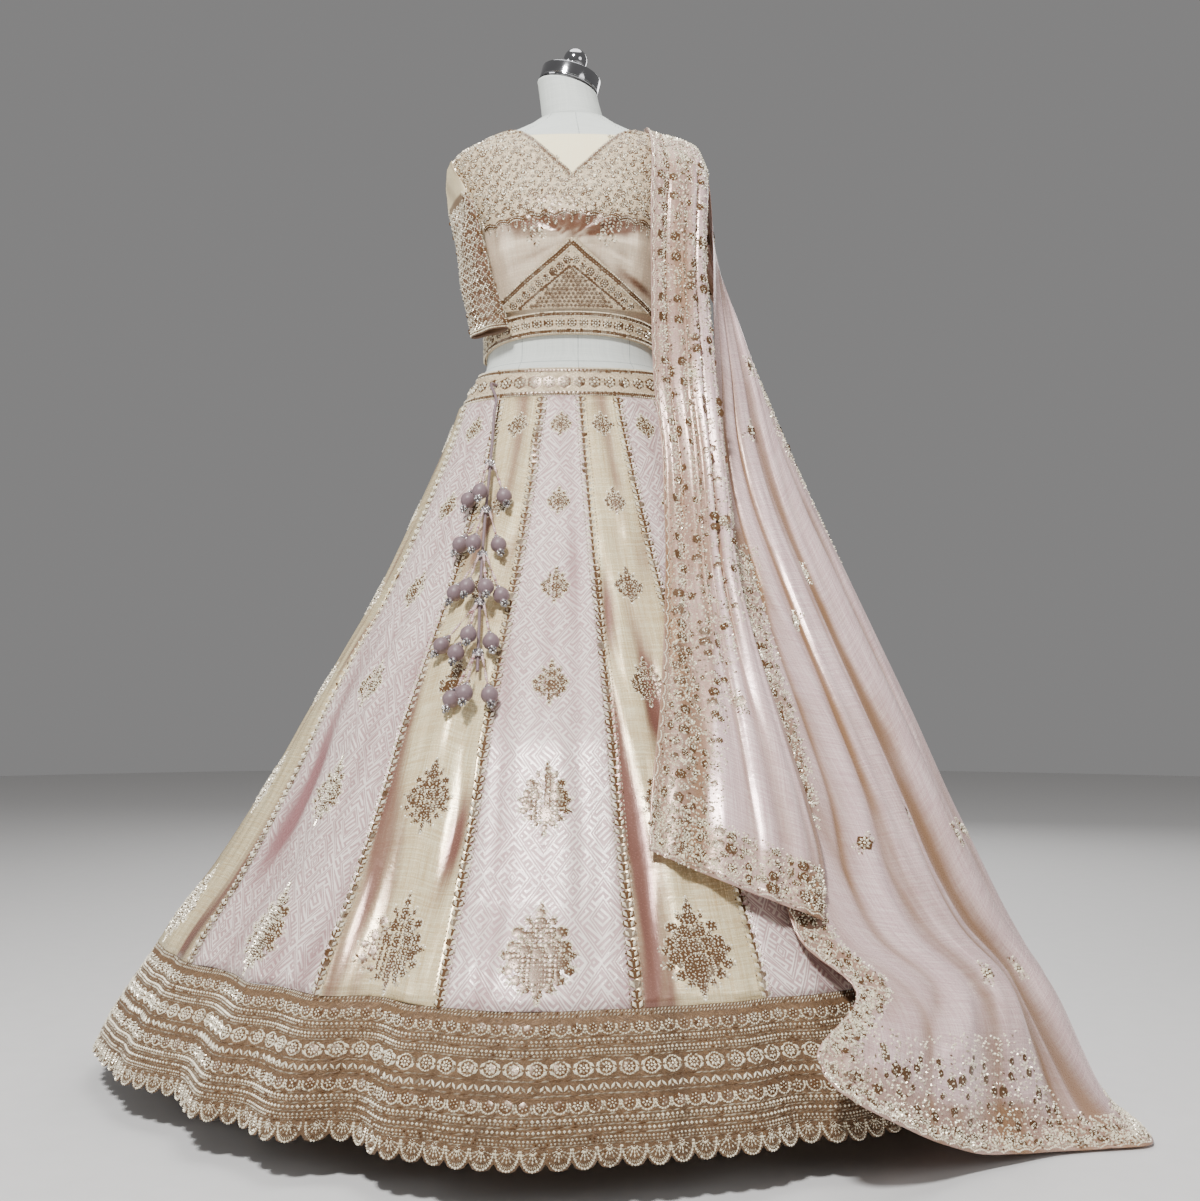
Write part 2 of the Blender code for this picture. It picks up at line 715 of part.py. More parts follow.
def seam_angle(seam, z):
    """Angle of a seam at a height: it is straight from the waistband to the hem."""
    top_angle, hem_angle = seam
    top = polar(top_angle, skirt_radius(top_angle, SKIRT_TOP_Z), 0.0)
    hem = polar(hem_angle, look_up(SKIRT_SECTIONS, HEM_Z, 1), 0.0)
    drop = (SKIRT_TOP_Z - z) / (SKIRT_TOP_Z - HEM_Z)
    point = top.lerp(hem, drop)
    angle = math.degrees(math.atan2(point.x, -point.y))
    nearest = round((lerp(top_angle, hem_angle, drop) - angle) / 360.0)
    return angle + 360.0 * nearest


def build_panels(shop):
    """The skirt's tapered panels, brocade and tissue in turn."""
    seams = seam_table()
    faces = strip_faces(len(PANEL_HEIGHTS), PANEL_COLUMNS + 1)
    for number in range(PANEL_COUNT):
        layers = ([], [])
        for z in reversed(PANEL_HEIGHTS):
            left = seam_angle(seams[number], z)
            right = seam_angle(seams[number + 1], z)
            gap = math.degrees(SEAM / 2.0 / skirt_radius(left, z))
            for column in range(PANEL_COLUMNS + 1):
                angle = lerp(left + gap, right - gap, column / PANEL_COLUMNS)
                radius = skirt_radius(angle, z)
                layers[0].append(polar(angle, radius, z))
                layers[1].append(polar(angle, radius + SKIRT_CLOTH, z))
        look = "tissue" if number % 2 else "brocade"
        shop.shell(f"lehenga_panel_{number + 1:02d}", *layers, faces, look)


def build_border(shop):
    """The hem border, with its scalloped lower edge."""
    sides = SCALLOP_COUNT * 2
    layers = ([], [])
    for row in range(2):
        for side in range(sides):
            angle = 360.0 * side / sides
            z = HEM_Z + SCALLOP_DEPTH * (side % 2) if row == 0 else BORDER_TOP_Z
            radius = skirt_radius(angle, z)
            layers[0].append(polar(angle, radius, z))
            layers[1].append(polar(angle, radius + SKIRT_CLOTH, z))
    faces = strip_faces(2, sides, closed=True)
    shop.shell("lehenga_hem_border", *layers, faces, "embroidery")


def fold_reach(folds, share, row):
    """How far the folds push a cloth out at a place across it."""
    reach = 0.0
    for place, half_breadth, height, first_row in folds:
        growth = min(1.0, max(0.0, (row - first_row) / 8.0))
        reach += height * growth * bump(share - place, half_breadth)
    return reach


def fall_rows(rows, folds, columns):
    """Points of a hanging cloth, a list for each of its rows."""
    grid = []
    for number, row in enumerate(rows):
        line = []
        for column in range(columns + 1):
            share = column / columns
            z = lerp(row[0], row[3], share)
            angle = lerp(row[1], row[4], share)
            radius = lerp(row[2], row[5], share * share * (3.0 - 2.0 * share))
            if number:
                radius += fold_reach(folds, share, number)
                radius = max(radius, body_radius(angle, z) + FALL_CLEARANCE)
            line.append(polar(angle, radius, z))
        grid.append(line)
    return grid


def build_dupatta(shop):
    """The two stretches of the dupatta, which meet on top of the shoulder."""
    grid = fall_rows(FRONT_FALL_ROWS, FRONT_FALL_FOLDS, FRONT_FALL_COLUMNS)
    points = [point for line in reversed(grid) for point in line]
    faces = strip_faces(len(grid), FRONT_FALL_COLUMNS + 1)
    shop.wall("dupatta_front_fall", points, faces, "dupatta", DUPATTA_CLOTH)

    grid = fall_rows(SIDE_FALL_ROWS, SIDE_FALL_FOLDS, SIDE_FALL_COLUMNS)
    edge = []
    for column in range(SIDE_FALL_COLUMNS + 1):
        share = column / SIDE_FALL_COLUMNS
        edge.append(Vector(look_up(SIDE_FALL_EDGE, share, axis) for axis in (1, 2, 3)))
    bend = []
    for upper, lower in zip(grid[-1], edge):
        middle = upper.lerp(lower, 0.55)
        middle.z = lerp(upper.z, lower.z, 0.80)
        bend.append(middle)
    grid += [bend, edge]
    points = [point for line in reversed(grid) for point in line]
    faces = strip_faces(len(grid), SIDE_FALL_COLUMNS + 1)
    shop.wall("dupatta_side_fall", points, faces, "dupatta", DUPATTA_CLOTH)


def tie_point(z, x, reach):
    """A point in front of the skirt at a height, a side place and a distance out."""
    angle = 0.0
    for _ in range(30):
        radius = skirt_radius(angle, z) + reach
        angle = math.degrees(math.asin(max(-1.0, min(1.0, x / radius))))
    return polar(angle, skirt_radius(angle, z) + reach, z)


def bake(item):
    """A mesh copy of an object's evaluated shape, in world space."""
    graph = bpy.context.evaluated_depsgraph_get()
    shape = item.evaluated_get(graph)
    data = bpy.data.meshes.new_from_object(shape)
    data.transform(item.matrix_world)
    return data


def join_solids(shop, name, solids, look):
    """One closed solid from several that overlap."""
    first = solids[0]
    for other in solids[1:]:
        union = first.modifiers.new("join", "BOOLEAN")
        union.operation = "UNION"
        union.solver = "EXACT"
        union.object = other
    bpy.context.view_layer.update()
    data = bake(first)
    for solid in solids:
        bpy.data.objects.remove(solid, do_unlink=True)
    data.name = name
    return shop.keep(bpy.data.objects.new(name, data), look)


def ball_profile(length):
    """A drop from its root at 0: strand, cap, ball and bead cluster, top to bottom."""
    middle = -length
    radius = BALL_RADIUS
    return [
        (0.0, 0.0),
        (STRAND_RADIUS, 0.0),
        (STRAND_RADIUS, middle + radius + 0.0035),
        (0.0056, middle + radius - 0.0005),
        (radius, middle + radius * 0.26),
        (radius, middle - radius * 0.26),
        (0.0052, middle - radius + 0.0005),
        (0.0050, middle - radius - 0.0050),
        (0.0, middle - radius - 0.0110),
    ]


def build_tie(shop):
    """The drawstring's end and its five tiers of covered balls."""
    cord = bpy.data.curves.new("tie_cord", "CURVE")
    cord.dimensions = "3D"
    cord.bevel_depth = CORD_RADIUS
    cord.bevel_resolution = 2
    cord.use_fill_caps = True
    line = cord.splines.new("POLY")
    band_face = WAISTBAND_GAP + BAND_CLOTH + 2.0 * SEAM
    route = [
        torso_point(CORD_EXIT_PLACE, CORD_EXIT_Z, band_face),
        torso_point(CORD_EXIT_PLACE, CORD_EXIT_Z - 0.001, band_face + CORD_EXIT_REACH),
    ]
    route += [tie_point(z, x, CORD_REACH) for z, x in CORD_POINTS]
    smooth = smooth_route(route, 3)
    line.points.add(len(smooth) - 1)
    for point, place in zip(line.points, smooth):
        point.co = (*place, 1.0)
    shop.keep(bpy.data.objects.new("tie_cord", cord), "tie")

    for number, (hub_z, balls) in enumerate(TIERS, 1):
        hub_x = look_up(sorted(CORD_POINTS), hub_z, 1)
        hub = tie_point(hub_z, hub_x, CORD_REACH)
        below = tie_point(hub_z - 0.02, look_up(sorted(CORD_POINTS), hub_z - 0.02, 1), CORD_REACH)
        cord_axis = (hub - below).normalized()
        solids = [build_hub(shop, hub, cord_axis)]
        for shift, drop, reach in balls:
            goal = tie_point(hub_z - drop, hub_x + shift, CORD_REACH + reach)
            aside = goal - hub
            aside = (aside - cord_axis * aside.dot(cord_axis)).normalized()
            start = hub + aside * STRAND_START
            drop_item = shop.turned("drop", ball_profile((goal - start).length), "tie", 7)
            drop_item.location = start
            drop_item.rotation_euler = (start - goal).to_track_quat("Z", "Y").to_euler()
            solids.append(drop_item)
        join_solids(shop, f"tie_tier_{number}", solids, "tie")


def build_hub(shop, centre, axis):
    """The ring on the cord that a tier's strands hang from."""
    inner = CORD_RADIUS + 0.0006
    profile = [
        (inner, HUB_HALF_HEIGHT),
        (HUB_RADIUS, 0.003),
        (HUB_RADIUS, -0.003),
        (inner, -HUB_HALF_HEIGHT),
        (inner, HUB_HALF_HEIGHT),
    ]
    hub = shop.turned("hub", profile, "chrome", 9)
    hub.location = centre
    hub.rotation_euler = axis.to_track_quat("Z", "Y").to_euler()
    return hub


def smooth_route(route, steps):
    """Points on a Catmull-Rom curve through a route."""
    ends = [route[0] * 2.0 - route[1], *route, route[-1] * 2.0 - route[-2]]
    points = []
    for before, start, end, after in zip(ends, ends[1:], ends[2:], ends[3:]):
        for step in range(steps):
            t = step / steps
            points.append(
                0.5
                * (
                    2.0 * start
                    + (end - before) * t
                    + (2.0 * before - 5.0 * start + 4.0 * end - after) * t**2
                    + (3.0 * start - before - 3.0 * end + after) * t**3
                )
            )
    points.append(route[-1])
    return points


def main():
    clear_scene()
    shop = Workshop()
    build_stand(shop)
    build_torso(shop)
    build_neck(shop)
    build_choli(shop)
    build_sleeve(shop, "choli_sleeve_left", 1)
    build_sleeve(shop, "choli_sleeve_right", 2)
    build_waistband(shop)
    build_panels(shop)
    build_border(shop)
    build_tie(shop)
    build_dupatta(shop)


main()
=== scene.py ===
"""Looks of a lehenga choli with its dupatta, on a limbless dress form.

Metres, +Z up, the form faces -Y. A place is an angle in degrees about the
pole, 0 in front and growing towards +X, as in the solids.
"""

import logging
import math
from dataclasses import dataclass
from enum import Enum
from typing import Callable, ClassVar, Sequence

import bpy
import numpy as np
from mathutils import Euler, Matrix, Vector


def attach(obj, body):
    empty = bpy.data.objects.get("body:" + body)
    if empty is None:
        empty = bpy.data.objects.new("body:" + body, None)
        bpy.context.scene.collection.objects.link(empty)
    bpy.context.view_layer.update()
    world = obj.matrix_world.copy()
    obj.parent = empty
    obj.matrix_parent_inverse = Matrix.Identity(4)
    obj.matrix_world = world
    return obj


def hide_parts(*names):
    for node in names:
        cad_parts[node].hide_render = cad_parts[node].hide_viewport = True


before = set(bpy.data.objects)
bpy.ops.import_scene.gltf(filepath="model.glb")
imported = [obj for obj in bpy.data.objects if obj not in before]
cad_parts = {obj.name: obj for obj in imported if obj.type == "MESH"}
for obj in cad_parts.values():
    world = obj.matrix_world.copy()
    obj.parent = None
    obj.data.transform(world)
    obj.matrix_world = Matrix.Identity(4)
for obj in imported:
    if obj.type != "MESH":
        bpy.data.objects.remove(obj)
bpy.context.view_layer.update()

log = logging.getLogger("lehenga_choli")
Array = np.ndarray
Colour = tuple[float, float, float]
Points = Sequence[tuple[float, float]]
Piece = bpy.types.Object
Material = bpy.types.Material
Socket = bpy.types.NodeSocket
Tree = bpy.types.NodeTree

# Sizes shared with the solids
SEAM = 0.0003
CLOTH = 0.0014
SKIRT_CLOTH = 0.0020
BAND_CLOTH = 0.0026
TRIM_CLOTH = 0.0010
CHOLI_GAP = 0.0009
PANEL_GAP = 0.0031
BAND_GAP = 0.0012
SKIRT_TOP_Z = 0.9305
BORDER_TOP_Z = 0.178
HEM_Z = 0.043
SCALLOP_COUNT = 160
SCALLOP_DEPTH = 0.007
TIE_REACH = 0.0185

# Dress form: height, half width, depth in front, depth behind
TORSO_SECTIONS = (
    (0.735, 0.150, 0.096, 0.106), (0.780, 0.168, 0.106, 0.120), (0.860, 0.171, 0.106, 0.120),
    (0.930, 0.161, 0.100, 0.110), (0.974, 0.140, 0.092, 0.095), (0.992, 0.129, 0.089, 0.088),
    (1.020, 0.1285, 0.092, 0.086), (1.060, 0.132, 0.103, 0.088), (1.110, 0.140, 0.122, 0.093),
    (1.170, 0.148, 0.135, 0.098), (1.210, 0.158, 0.128, 0.100), (1.250, 0.170, 0.110, 0.100),
    (1.280, 0.179, 0.096, 0.095), (1.300, 0.181, 0.086, 0.088), (1.315, 0.171, 0.077, 0.080),
    (1.330, 0.145, 0.068, 0.073), (1.345, 0.112, 0.060, 0.067), (1.358, 0.078, 0.053, 0.060),
    (1.372, 0.055, 0.048, 0.052),
)
# Skirt: height, half width
SKIRT_SECTIONS = (
    (0.043, 0.635), (0.093, 0.612), (0.155, 0.573), (0.200, 0.548), (0.277, 0.494),
    (0.415, 0.413), (0.480, 0.380), (0.560, 0.337), (0.655, 0.285), (0.770, 0.233),
    (0.890, 0.183), (0.931, 0.169),
)
# Skirt folds: place at the hem, half breadth, reach out, height where it dies out
SKIRT_FOLDS = (
    (-75.0, 14.0, 0.016, 0.55), (-48.0, 10.0, -0.030, 0.50), (-35.0, 6.5, -0.020, 0.35),
    (-22.0, 6.5, -0.036, 0.42), (-5.0, 12.0, 0.018, 0.60), (16.0, 7.0, -0.008, 0.35),
    (23.5, 5.5, -0.020, 0.32), (45.0, 10.0, -0.026, 0.45), (80.0, 11.0, -0.028, 0.50),
    (101.0, 12.0, 0.016, 0.50), (124.0, 10.0, -0.028, 0.45), (147.0, 13.0, 0.018, 0.55),
    (169.0, 10.0, -0.030, 0.45), (192.0, 12.0, 0.018, 0.60), (214.0, 10.0, -0.026, 0.45),
    (238.0, 13.0, 0.018, 0.50), (262.0, 10.0, -0.026, 0.45),
)
# Soft dents in the skirt's cloth: place, height, half breadth, half height, reach out
SKIRT_DENTS = (
    (10.5, 0.62, 3.2, 0.10, -0.0040), (17.0, 0.50, 3.4, 0.09, -0.0045), (20.0, 0.74, 4.0, 0.06, 0.0030),
    (14.0, 0.33, 3.0, 0.09, 0.0040), (-16.0, 0.34, 2.6, 0.10, -0.0045), (-23.0, 0.50, 2.4, 0.10, 0.0035),
    (-31.0, 0.72, 4.0, 0.10, -0.0035), (-19.0, 0.86, 4.0, 0.05, 0.0025), (-2.0, 0.45, 2.4, 0.12, 0.0020),
    (-36.0, 0.27, 3.0, 0.07, 0.0035), (-52.0, 0.36, 3.6, 0.13, -0.0035), (-62.0, 0.52, 4.5, 0.12, 0.0030),
    (38.0, 0.60, 4.0, 0.12, -0.0040), (58.0, 0.45, 4.0, 0.12, 0.0035), (95.0, 0.55, 4.5, 0.13, -0.0040),
    (118.0, 0.66, 5.0, 0.12, 0.0035), (139.0, 0.40, 4.0, 0.12, -0.0040), (160.0, 0.70, 5.0, 0.11, 0.0030),
    (184.0, 0.50, 4.0, 0.13, -0.0040), (205.0, 0.33, 3.4, 0.10, 0.0040), (226.0, 0.62, 5.0, 0.12, -0.0035),
    (250.0, 0.42, 4.2, 0.12, 0.0035), (272.0, 0.60, 4.6, 0.12, -0.0035),
)
# Seams in front: place at the waistband, place at the hem
FRONT_SEAMS = ((-75.1, -55.0), (-49.4, -28.1), (-21.4, -13.0), (6.2, 8.2), (32.5, 23.3))
PANEL_COUNT = 14
# Choli half front and half back: height, place of its side edge, place of its inner edge
FRONT_ROWS = (
    (1.020, 90.0, 0.0), (1.060, 90.0, 0.0), (1.110, 90.0, 0.0), (1.170, 90.0, 0.0), (1.210, 81.0, 0.0),
    (1.250, 72.0, 0.0), (1.280, 73.0, 5.2), (1.300, 79.0, 9.7), (1.315, 86.0, 14.3),
    (1.328, 90.0, 21.5), (1.335, 90.0, 29.0), (1.341, 90.0, 42.0),
)
BACK_ROWS = (
    (1.020, 90.0, 180.0), (1.060, 90.0, 180.0), (1.110, 90.0, 180.0), (1.170, 90.0, 180.0),
    (1.210, 99.0, 180.0), (1.250, 106.0, 180.0), (1.280, 104.0, 180.0), (1.300, 99.0, 180.0),
    (1.315, 93.0, 180.0), (1.328, 90.0, 180.0), (1.335, 90.0, 166.0), (1.341, 90.0, 150.0),
)
# Cloth inside the neck: height, half its breadth as a place
NECK_CLOTH_ROWS = ((1.242, 4.0), (1.262, 8.5), (1.282, 13.0), (1.300, 17.0), (1.314, 21.0), (1.328, 27.0))
# Midriff panel: height, half its breadth as a place
CHEVRON_ROWS = (
    (1.0560, 64.0), (1.0600, 57.0), (1.0720, 45.0), (1.0850, 33.5), (1.1100, 17.6),
    (1.1300, 8.0), (1.1490, 1.5),
)
# Sleeves: height, place on the left, place on the right, half breadth, half thickness, gap
SLEEVE_RINGS = (
    (1.030, -61.0, 80.0, 0.041, 0.0110, 0.0068), (1.085, -62.0, 80.0, 0.043, 0.0120, 0.0060),
    (1.140, -64.0, 80.0, 0.046, 0.0115, 0.0055), (1.190, -68.0, 81.0, 0.050, 0.0095, 0.0060),
    (1.235, -76.0, 83.0, 0.050, 0.0060, 0.0062), (1.270, -82.0, 84.0, 0.042, 0.0030, 0.0062),
    (1.297, -85.0, 85.0, 0.030, 0.0024, 0.0050),
)
# Dupatta falls: inner height, place and radius, then outer height, place and radius
FRONT_FALL_ROWS = (
    (1.366, 89.84, 0.108, 1.339, 89.88, 0.174), (1.348, 68.0, 0.120, 1.320, 81.0, 0.188),
    (1.306, 51.6, 0.147, 1.292, 76.7, 0.199), (1.260, 45.0, 0.162, 1.250, 73.1, 0.208),
    (1.200, 42.5, 0.167, 1.190, 69.5, 0.209), (1.120, 42.5, 0.167, 1.110, 66.2, 0.211),
    (1.030, 42.5, 0.168, 1.020, 65.8, 0.219), (0.940, 42.0, 0.174, 0.930, 63.0, 0.231),
    (0.850, 40.0, 0.196, 0.840, 57.5, 0.251), (0.770, 35.5, 0.219, 0.760, 51.8, 0.275),
    (0.700, 30.3, 0.252, 0.680, 45.7, 0.308), (0.630, 25.2, 0.291, 0.600, 42.5, 0.346),
    (0.560, 20.5, 0.339, 0.520, 40.3, 0.390), (0.490, 16.8, 0.388, 0.440, 39.3, 0.433),
    (0.430, 14.0, 0.428, 0.370, 38.0, 0.473), (0.380, 12.4, 0.455, 0.310, 36.5, 0.506),
    (0.333, 11.4, 0.482, 0.252, 32.7, 0.542),
)
# Folds of a fall: place across, half breadth, reach out, first row
FRONT_FALL_FOLDS = (
    (0.18, 0.11, 0.006, 1), (0.44, 0.12, 0.008, 1), (0.66, 0.10, 0.007, 0), (0.86, 0.10, 0.009, 1),
)
SIDE_FALL_ROWS = (
    (1.339, 90.12, 0.174, 1.366, 90.16, 0.108), (1.318, 90.6, 0.190, 1.342, 110.9, 0.1272),
    (1.285, 87.6, 0.203, 1.305, 121.3, 0.1687), (1.240, 84.3, 0.208, 1.250, 122.5, 0.200),
    (1.170, 81.5, 0.211, 1.170, 118.8, 0.228), (1.080, 77.5, 0.213, 1.080, 114.2, 0.269),
    (0.980, 72.5, 0.218, 0.980, 110.2, 0.304), (0.880, 67.3, 0.221, 0.880, 107.1, 0.340),
    (0.780, 58.5, 0.241, 0.780, 104.6, 0.377), (0.680, 49.0, 0.283, 0.680, 102.5, 0.415),
    (0.580, 43.2, 0.333, 0.580, 101.0, 0.455), (0.480, 39.8, 0.388, 0.480, 99.8, 0.497),
    (0.380, 35.9, 0.446, 0.370, 98.9, 0.540), (0.300, 30.4, 0.494, 0.280, 98.3, 0.578),
    (0.235, 28.7, 0.545, 0.205, 97.8, 0.610), (0.185, 31.9, 0.601, 0.145, 97.4, 0.640),
    (0.150, 23.6, 0.655, 0.095, 97.0, 0.662),
)
# Lower edge of the side fall: share of its length, then x, y and z
SIDE_FALL_EDGE = (
    (0.00, 0.263, -0.625, 0.128), (0.06, 0.286, -0.630, 0.106), (0.12, 0.328, -0.612, 0.082),
    (0.18, 0.370, -0.585, 0.056), (0.24, 0.412, -0.552, 0.034), (0.30, 0.456, -0.520, 0.016),
    (0.40, 0.558, -0.465, 0.004), (0.46, 0.604, -0.460, 0.004), (0.53, 0.664, -0.441, 0.004),
    (0.60, 0.677, -0.372, 0.004), (0.67, 0.666, -0.300, 0.004), (0.75, 0.662, -0.220, 0.004),
    (0.84, 0.672, -0.120, 0.004), (0.92, 0.678, -0.020, 0.004), (1.00, 0.682, 0.080, 0.004),
)
SIDE_FALL_FOLDS = (
    (0.12, 0.06, 0.006, 7), (0.24, 0.07, 0.012, 3), (0.37, 0.07, 0.015, 2), (0.50, 0.06, -0.014, 4),
    (0.60, 0.07, 0.016, 1), (0.73, 0.06, -0.012, 5), (0.84, 0.07, 0.014, 2),
)
# Fine creases of the falls: place across, half breadth, reach out, first row, last row
FRONT_FALL_CREASES = (
    (0.31, 0.040, -0.0030, 1, 11), (0.53, 0.030, 0.0025, 2, 14), (0.74, 0.035, -0.0035, 0, 12),
    (0.93, 0.030, 0.0030, 3, 16), (0.60, 0.025, -0.0020, 6, 16),
)
SIDE_FALL_CREASES = (
    (0.060, 0.022, 0.0030, 8, 18), (0.170, 0.020, -0.0030, 4, 15), (0.300, 0.022, -0.0035, 1, 13),
    (0.335, 0.018, 0.0025, 5, 18), (0.430, 0.022, -0.0035, 2, 17), (0.465, 0.014, 0.0030, 7, 18),
    (0.545, 0.018, 0.0035, 0, 11), (0.665, 0.022, -0.0035, 3, 18), (0.700, 0.015, 0.0025, 1, 10),
    (0.780, 0.020, 0.0030, 6, 18), (0.905, 0.022, -0.0030, 2, 18), (0.950, 0.016, 0.0025, 5, 18),
)
# Waist tie: height and distance to the side down the cord
CORD_POINTS = (
    (0.926, -0.107), (0.905, -0.109), (0.850, -0.110), (0.790, -0.112), (0.720, -0.114),
    (0.650, -0.114), (0.590, -0.112), (0.535, -0.110),
)
# Waist tie tiers: height of the hub, then for each ball its side shift, drop and reach out
TIERS = (
    (0.822, ((-0.028, 0.051, 0.000), (-0.010, 0.043, 0.018), (0.022, 0.049, 0.000))),
    (0.752, ((-0.033, 0.046, 0.000), (-0.012, 0.047, 0.019), (0.020, 0.049, 0.000))),
    (0.688, ((-0.034, 0.050, 0.000), (-0.016, 0.044, 0.018), (0.009, 0.045, 0.019), (0.028, 0.055, 0.000))),
    (0.622, ((-0.046, 0.054, 0.000), (-0.025, 0.064, 0.010), (-0.010, 0.041, 0.018), (0.018, 0.050, 0.003))),
    (0.556, ((-0.030, 0.055, 0.000), (-0.012, 0.048, 0.015), (0.018, 0.050, 0.003))),
)


# Shapes


def lerp(a: Array, b: Array, share: Array) -> Array:
    """Value a share of the way from a to b."""
    return a + (b - a) * share


def bump(offset: Array, half_breadth: float) -> Array:
    """A smooth hill from 0 at the half breadth to 1 in the middle."""
    share = np.clip(np.abs(offset) / half_breadth, 0.0, 1.0)
    return 0.5 + 0.5 * np.cos(np.pi * share)


def turned_from(place: Array, middle: float) -> Array:
    """Degrees from a middle place to each place, the short way round."""
    return (place - middle + 180.0) % 360.0 - 180.0


def polar(place: Array, radius: Array, z: Array) -> Array:
    """Points at places and radii about the pole."""
    turn = np.radians(place)
    return np.stack(np.broadcast_arrays(radius * np.sin(turn), -radius * np.cos(turn), z), -1)


def unit(vectors: Array) -> Array:
    """The same vectors with a length of one."""
    return vectors / np.maximum(np.linalg.norm(vectors, axis=-1, keepdims=True), 1e-12)


class Rows:
    """Columns of a short rising table, smooth between its rows."""

    def __init__(self, rows: Sequence[Sequence[float]], fine: int = 600) -> None:
        """Fits a monotone curve through each column.

        Args:
            rows: the table, its key in the first column.
            fine: how many values each curve is kept as.
        """
        data = np.array(rows, float)
        keys = data[:, 0]
        self.keys = np.linspace(keys[0], keys[-1], fine)
        at = np.clip(np.searchsorted(keys, self.keys) - 1, 0, len(keys) - 2)
        span = (keys[at + 1] - keys[at])
        t = (self.keys - keys[at]) / span
        self.columns = []
        for values in data.T:
            slope = np.diff(values) / np.diff(keys)
            both = slope[:-1] * slope[1:]
            total = np.where(both > 0.0, slope[:-1] + slope[1:], 1.0)
            tangent = np.concatenate([slope[:1], np.where(both > 0.0, 2.0 * both / total, 0.0), slope[-1:]])
            low, high = values[at], values[at + 1]
            rise = tangent[at] * span
            fall = tangent[at + 1] * span
            t2, t3 = t * t, t * t * t
            ends = low * (2 * t3 - 3 * t2 + 1) + high * (3 * t2 - 2 * t3)
            self.columns.append(ends + rise * (t3 - 2 * t2 + t) + fall * (t3 - t2))

    def __call__(self, key: Array, column: int) -> Array:
        """Values of a column at the keys."""
        return np.interp(key, self.keys, self.columns[column])


@dataclass(frozen=True)
class FormShape:
    """The padded form and what is worn close on it."""

    squareness: float = 2.3
    yoke_gap: float = 0.0036
    yoke_z: float = 1.170
    collar_gap: float = 0.0075
    collar_z: float = 1.332
    side_hem_z: float = 1.002
    front_hem_z: float = 1.022
    rows: Rows = Rows(TORSO_SECTIONS)

    def point(self, place: Array, z: Array, out: Array) -> Array:
        """Points a distance out from the form."""
        turn = np.radians(place)
        sine, cosine = np.sin(turn), np.cos(turn)
        width = self.rows(z, 1) + out
        depth = np.where(cosine >= 0.0, self.rows(z, 2), self.rows(z, 3)) + out
        power = 2.0 / self.squareness
        x = np.sign(sine) * np.abs(sine) ** power * width
        y = -np.sign(cosine) * np.abs(cosine) ** power * depth
        return np.stack(np.broadcast_arrays(x, y, z), -1)

    def radius(self, place: Array, z: Array) -> Array:
        """Radius of the form about the pole."""
        turn = np.radians(place)
        depth = np.where(np.cos(turn) >= 0.0, self.rows(z, 2), self.rows(z, 3))
        across = (np.abs(np.sin(turn)) / self.rows(z, 1)) ** self.squareness
        along = (np.abs(np.cos(turn)) / depth) ** self.squareness
        return (across + along) ** (-1.0 / self.squareness)

    def choli_gap(self, z: Array) -> Array:
        """Gap of the choli, loosest at the neck."""
        yoke = np.clip((z - self.yoke_z) / 0.02, 0.0, 1.0)
        collar = np.clip((z - self.collar_z) / 0.01, 0.0, 1.0)
        return lerp(lerp(CHOLI_GAP, self.yoke_gap, yoke), self.collar_gap, collar)

    def hem(self, place: Array) -> Array:
        """Height of the choli's hem, which dips to the sides."""
        return lerp(self.side_hem_z, self.front_hem_z, np.abs(np.cos(np.radians(place))))


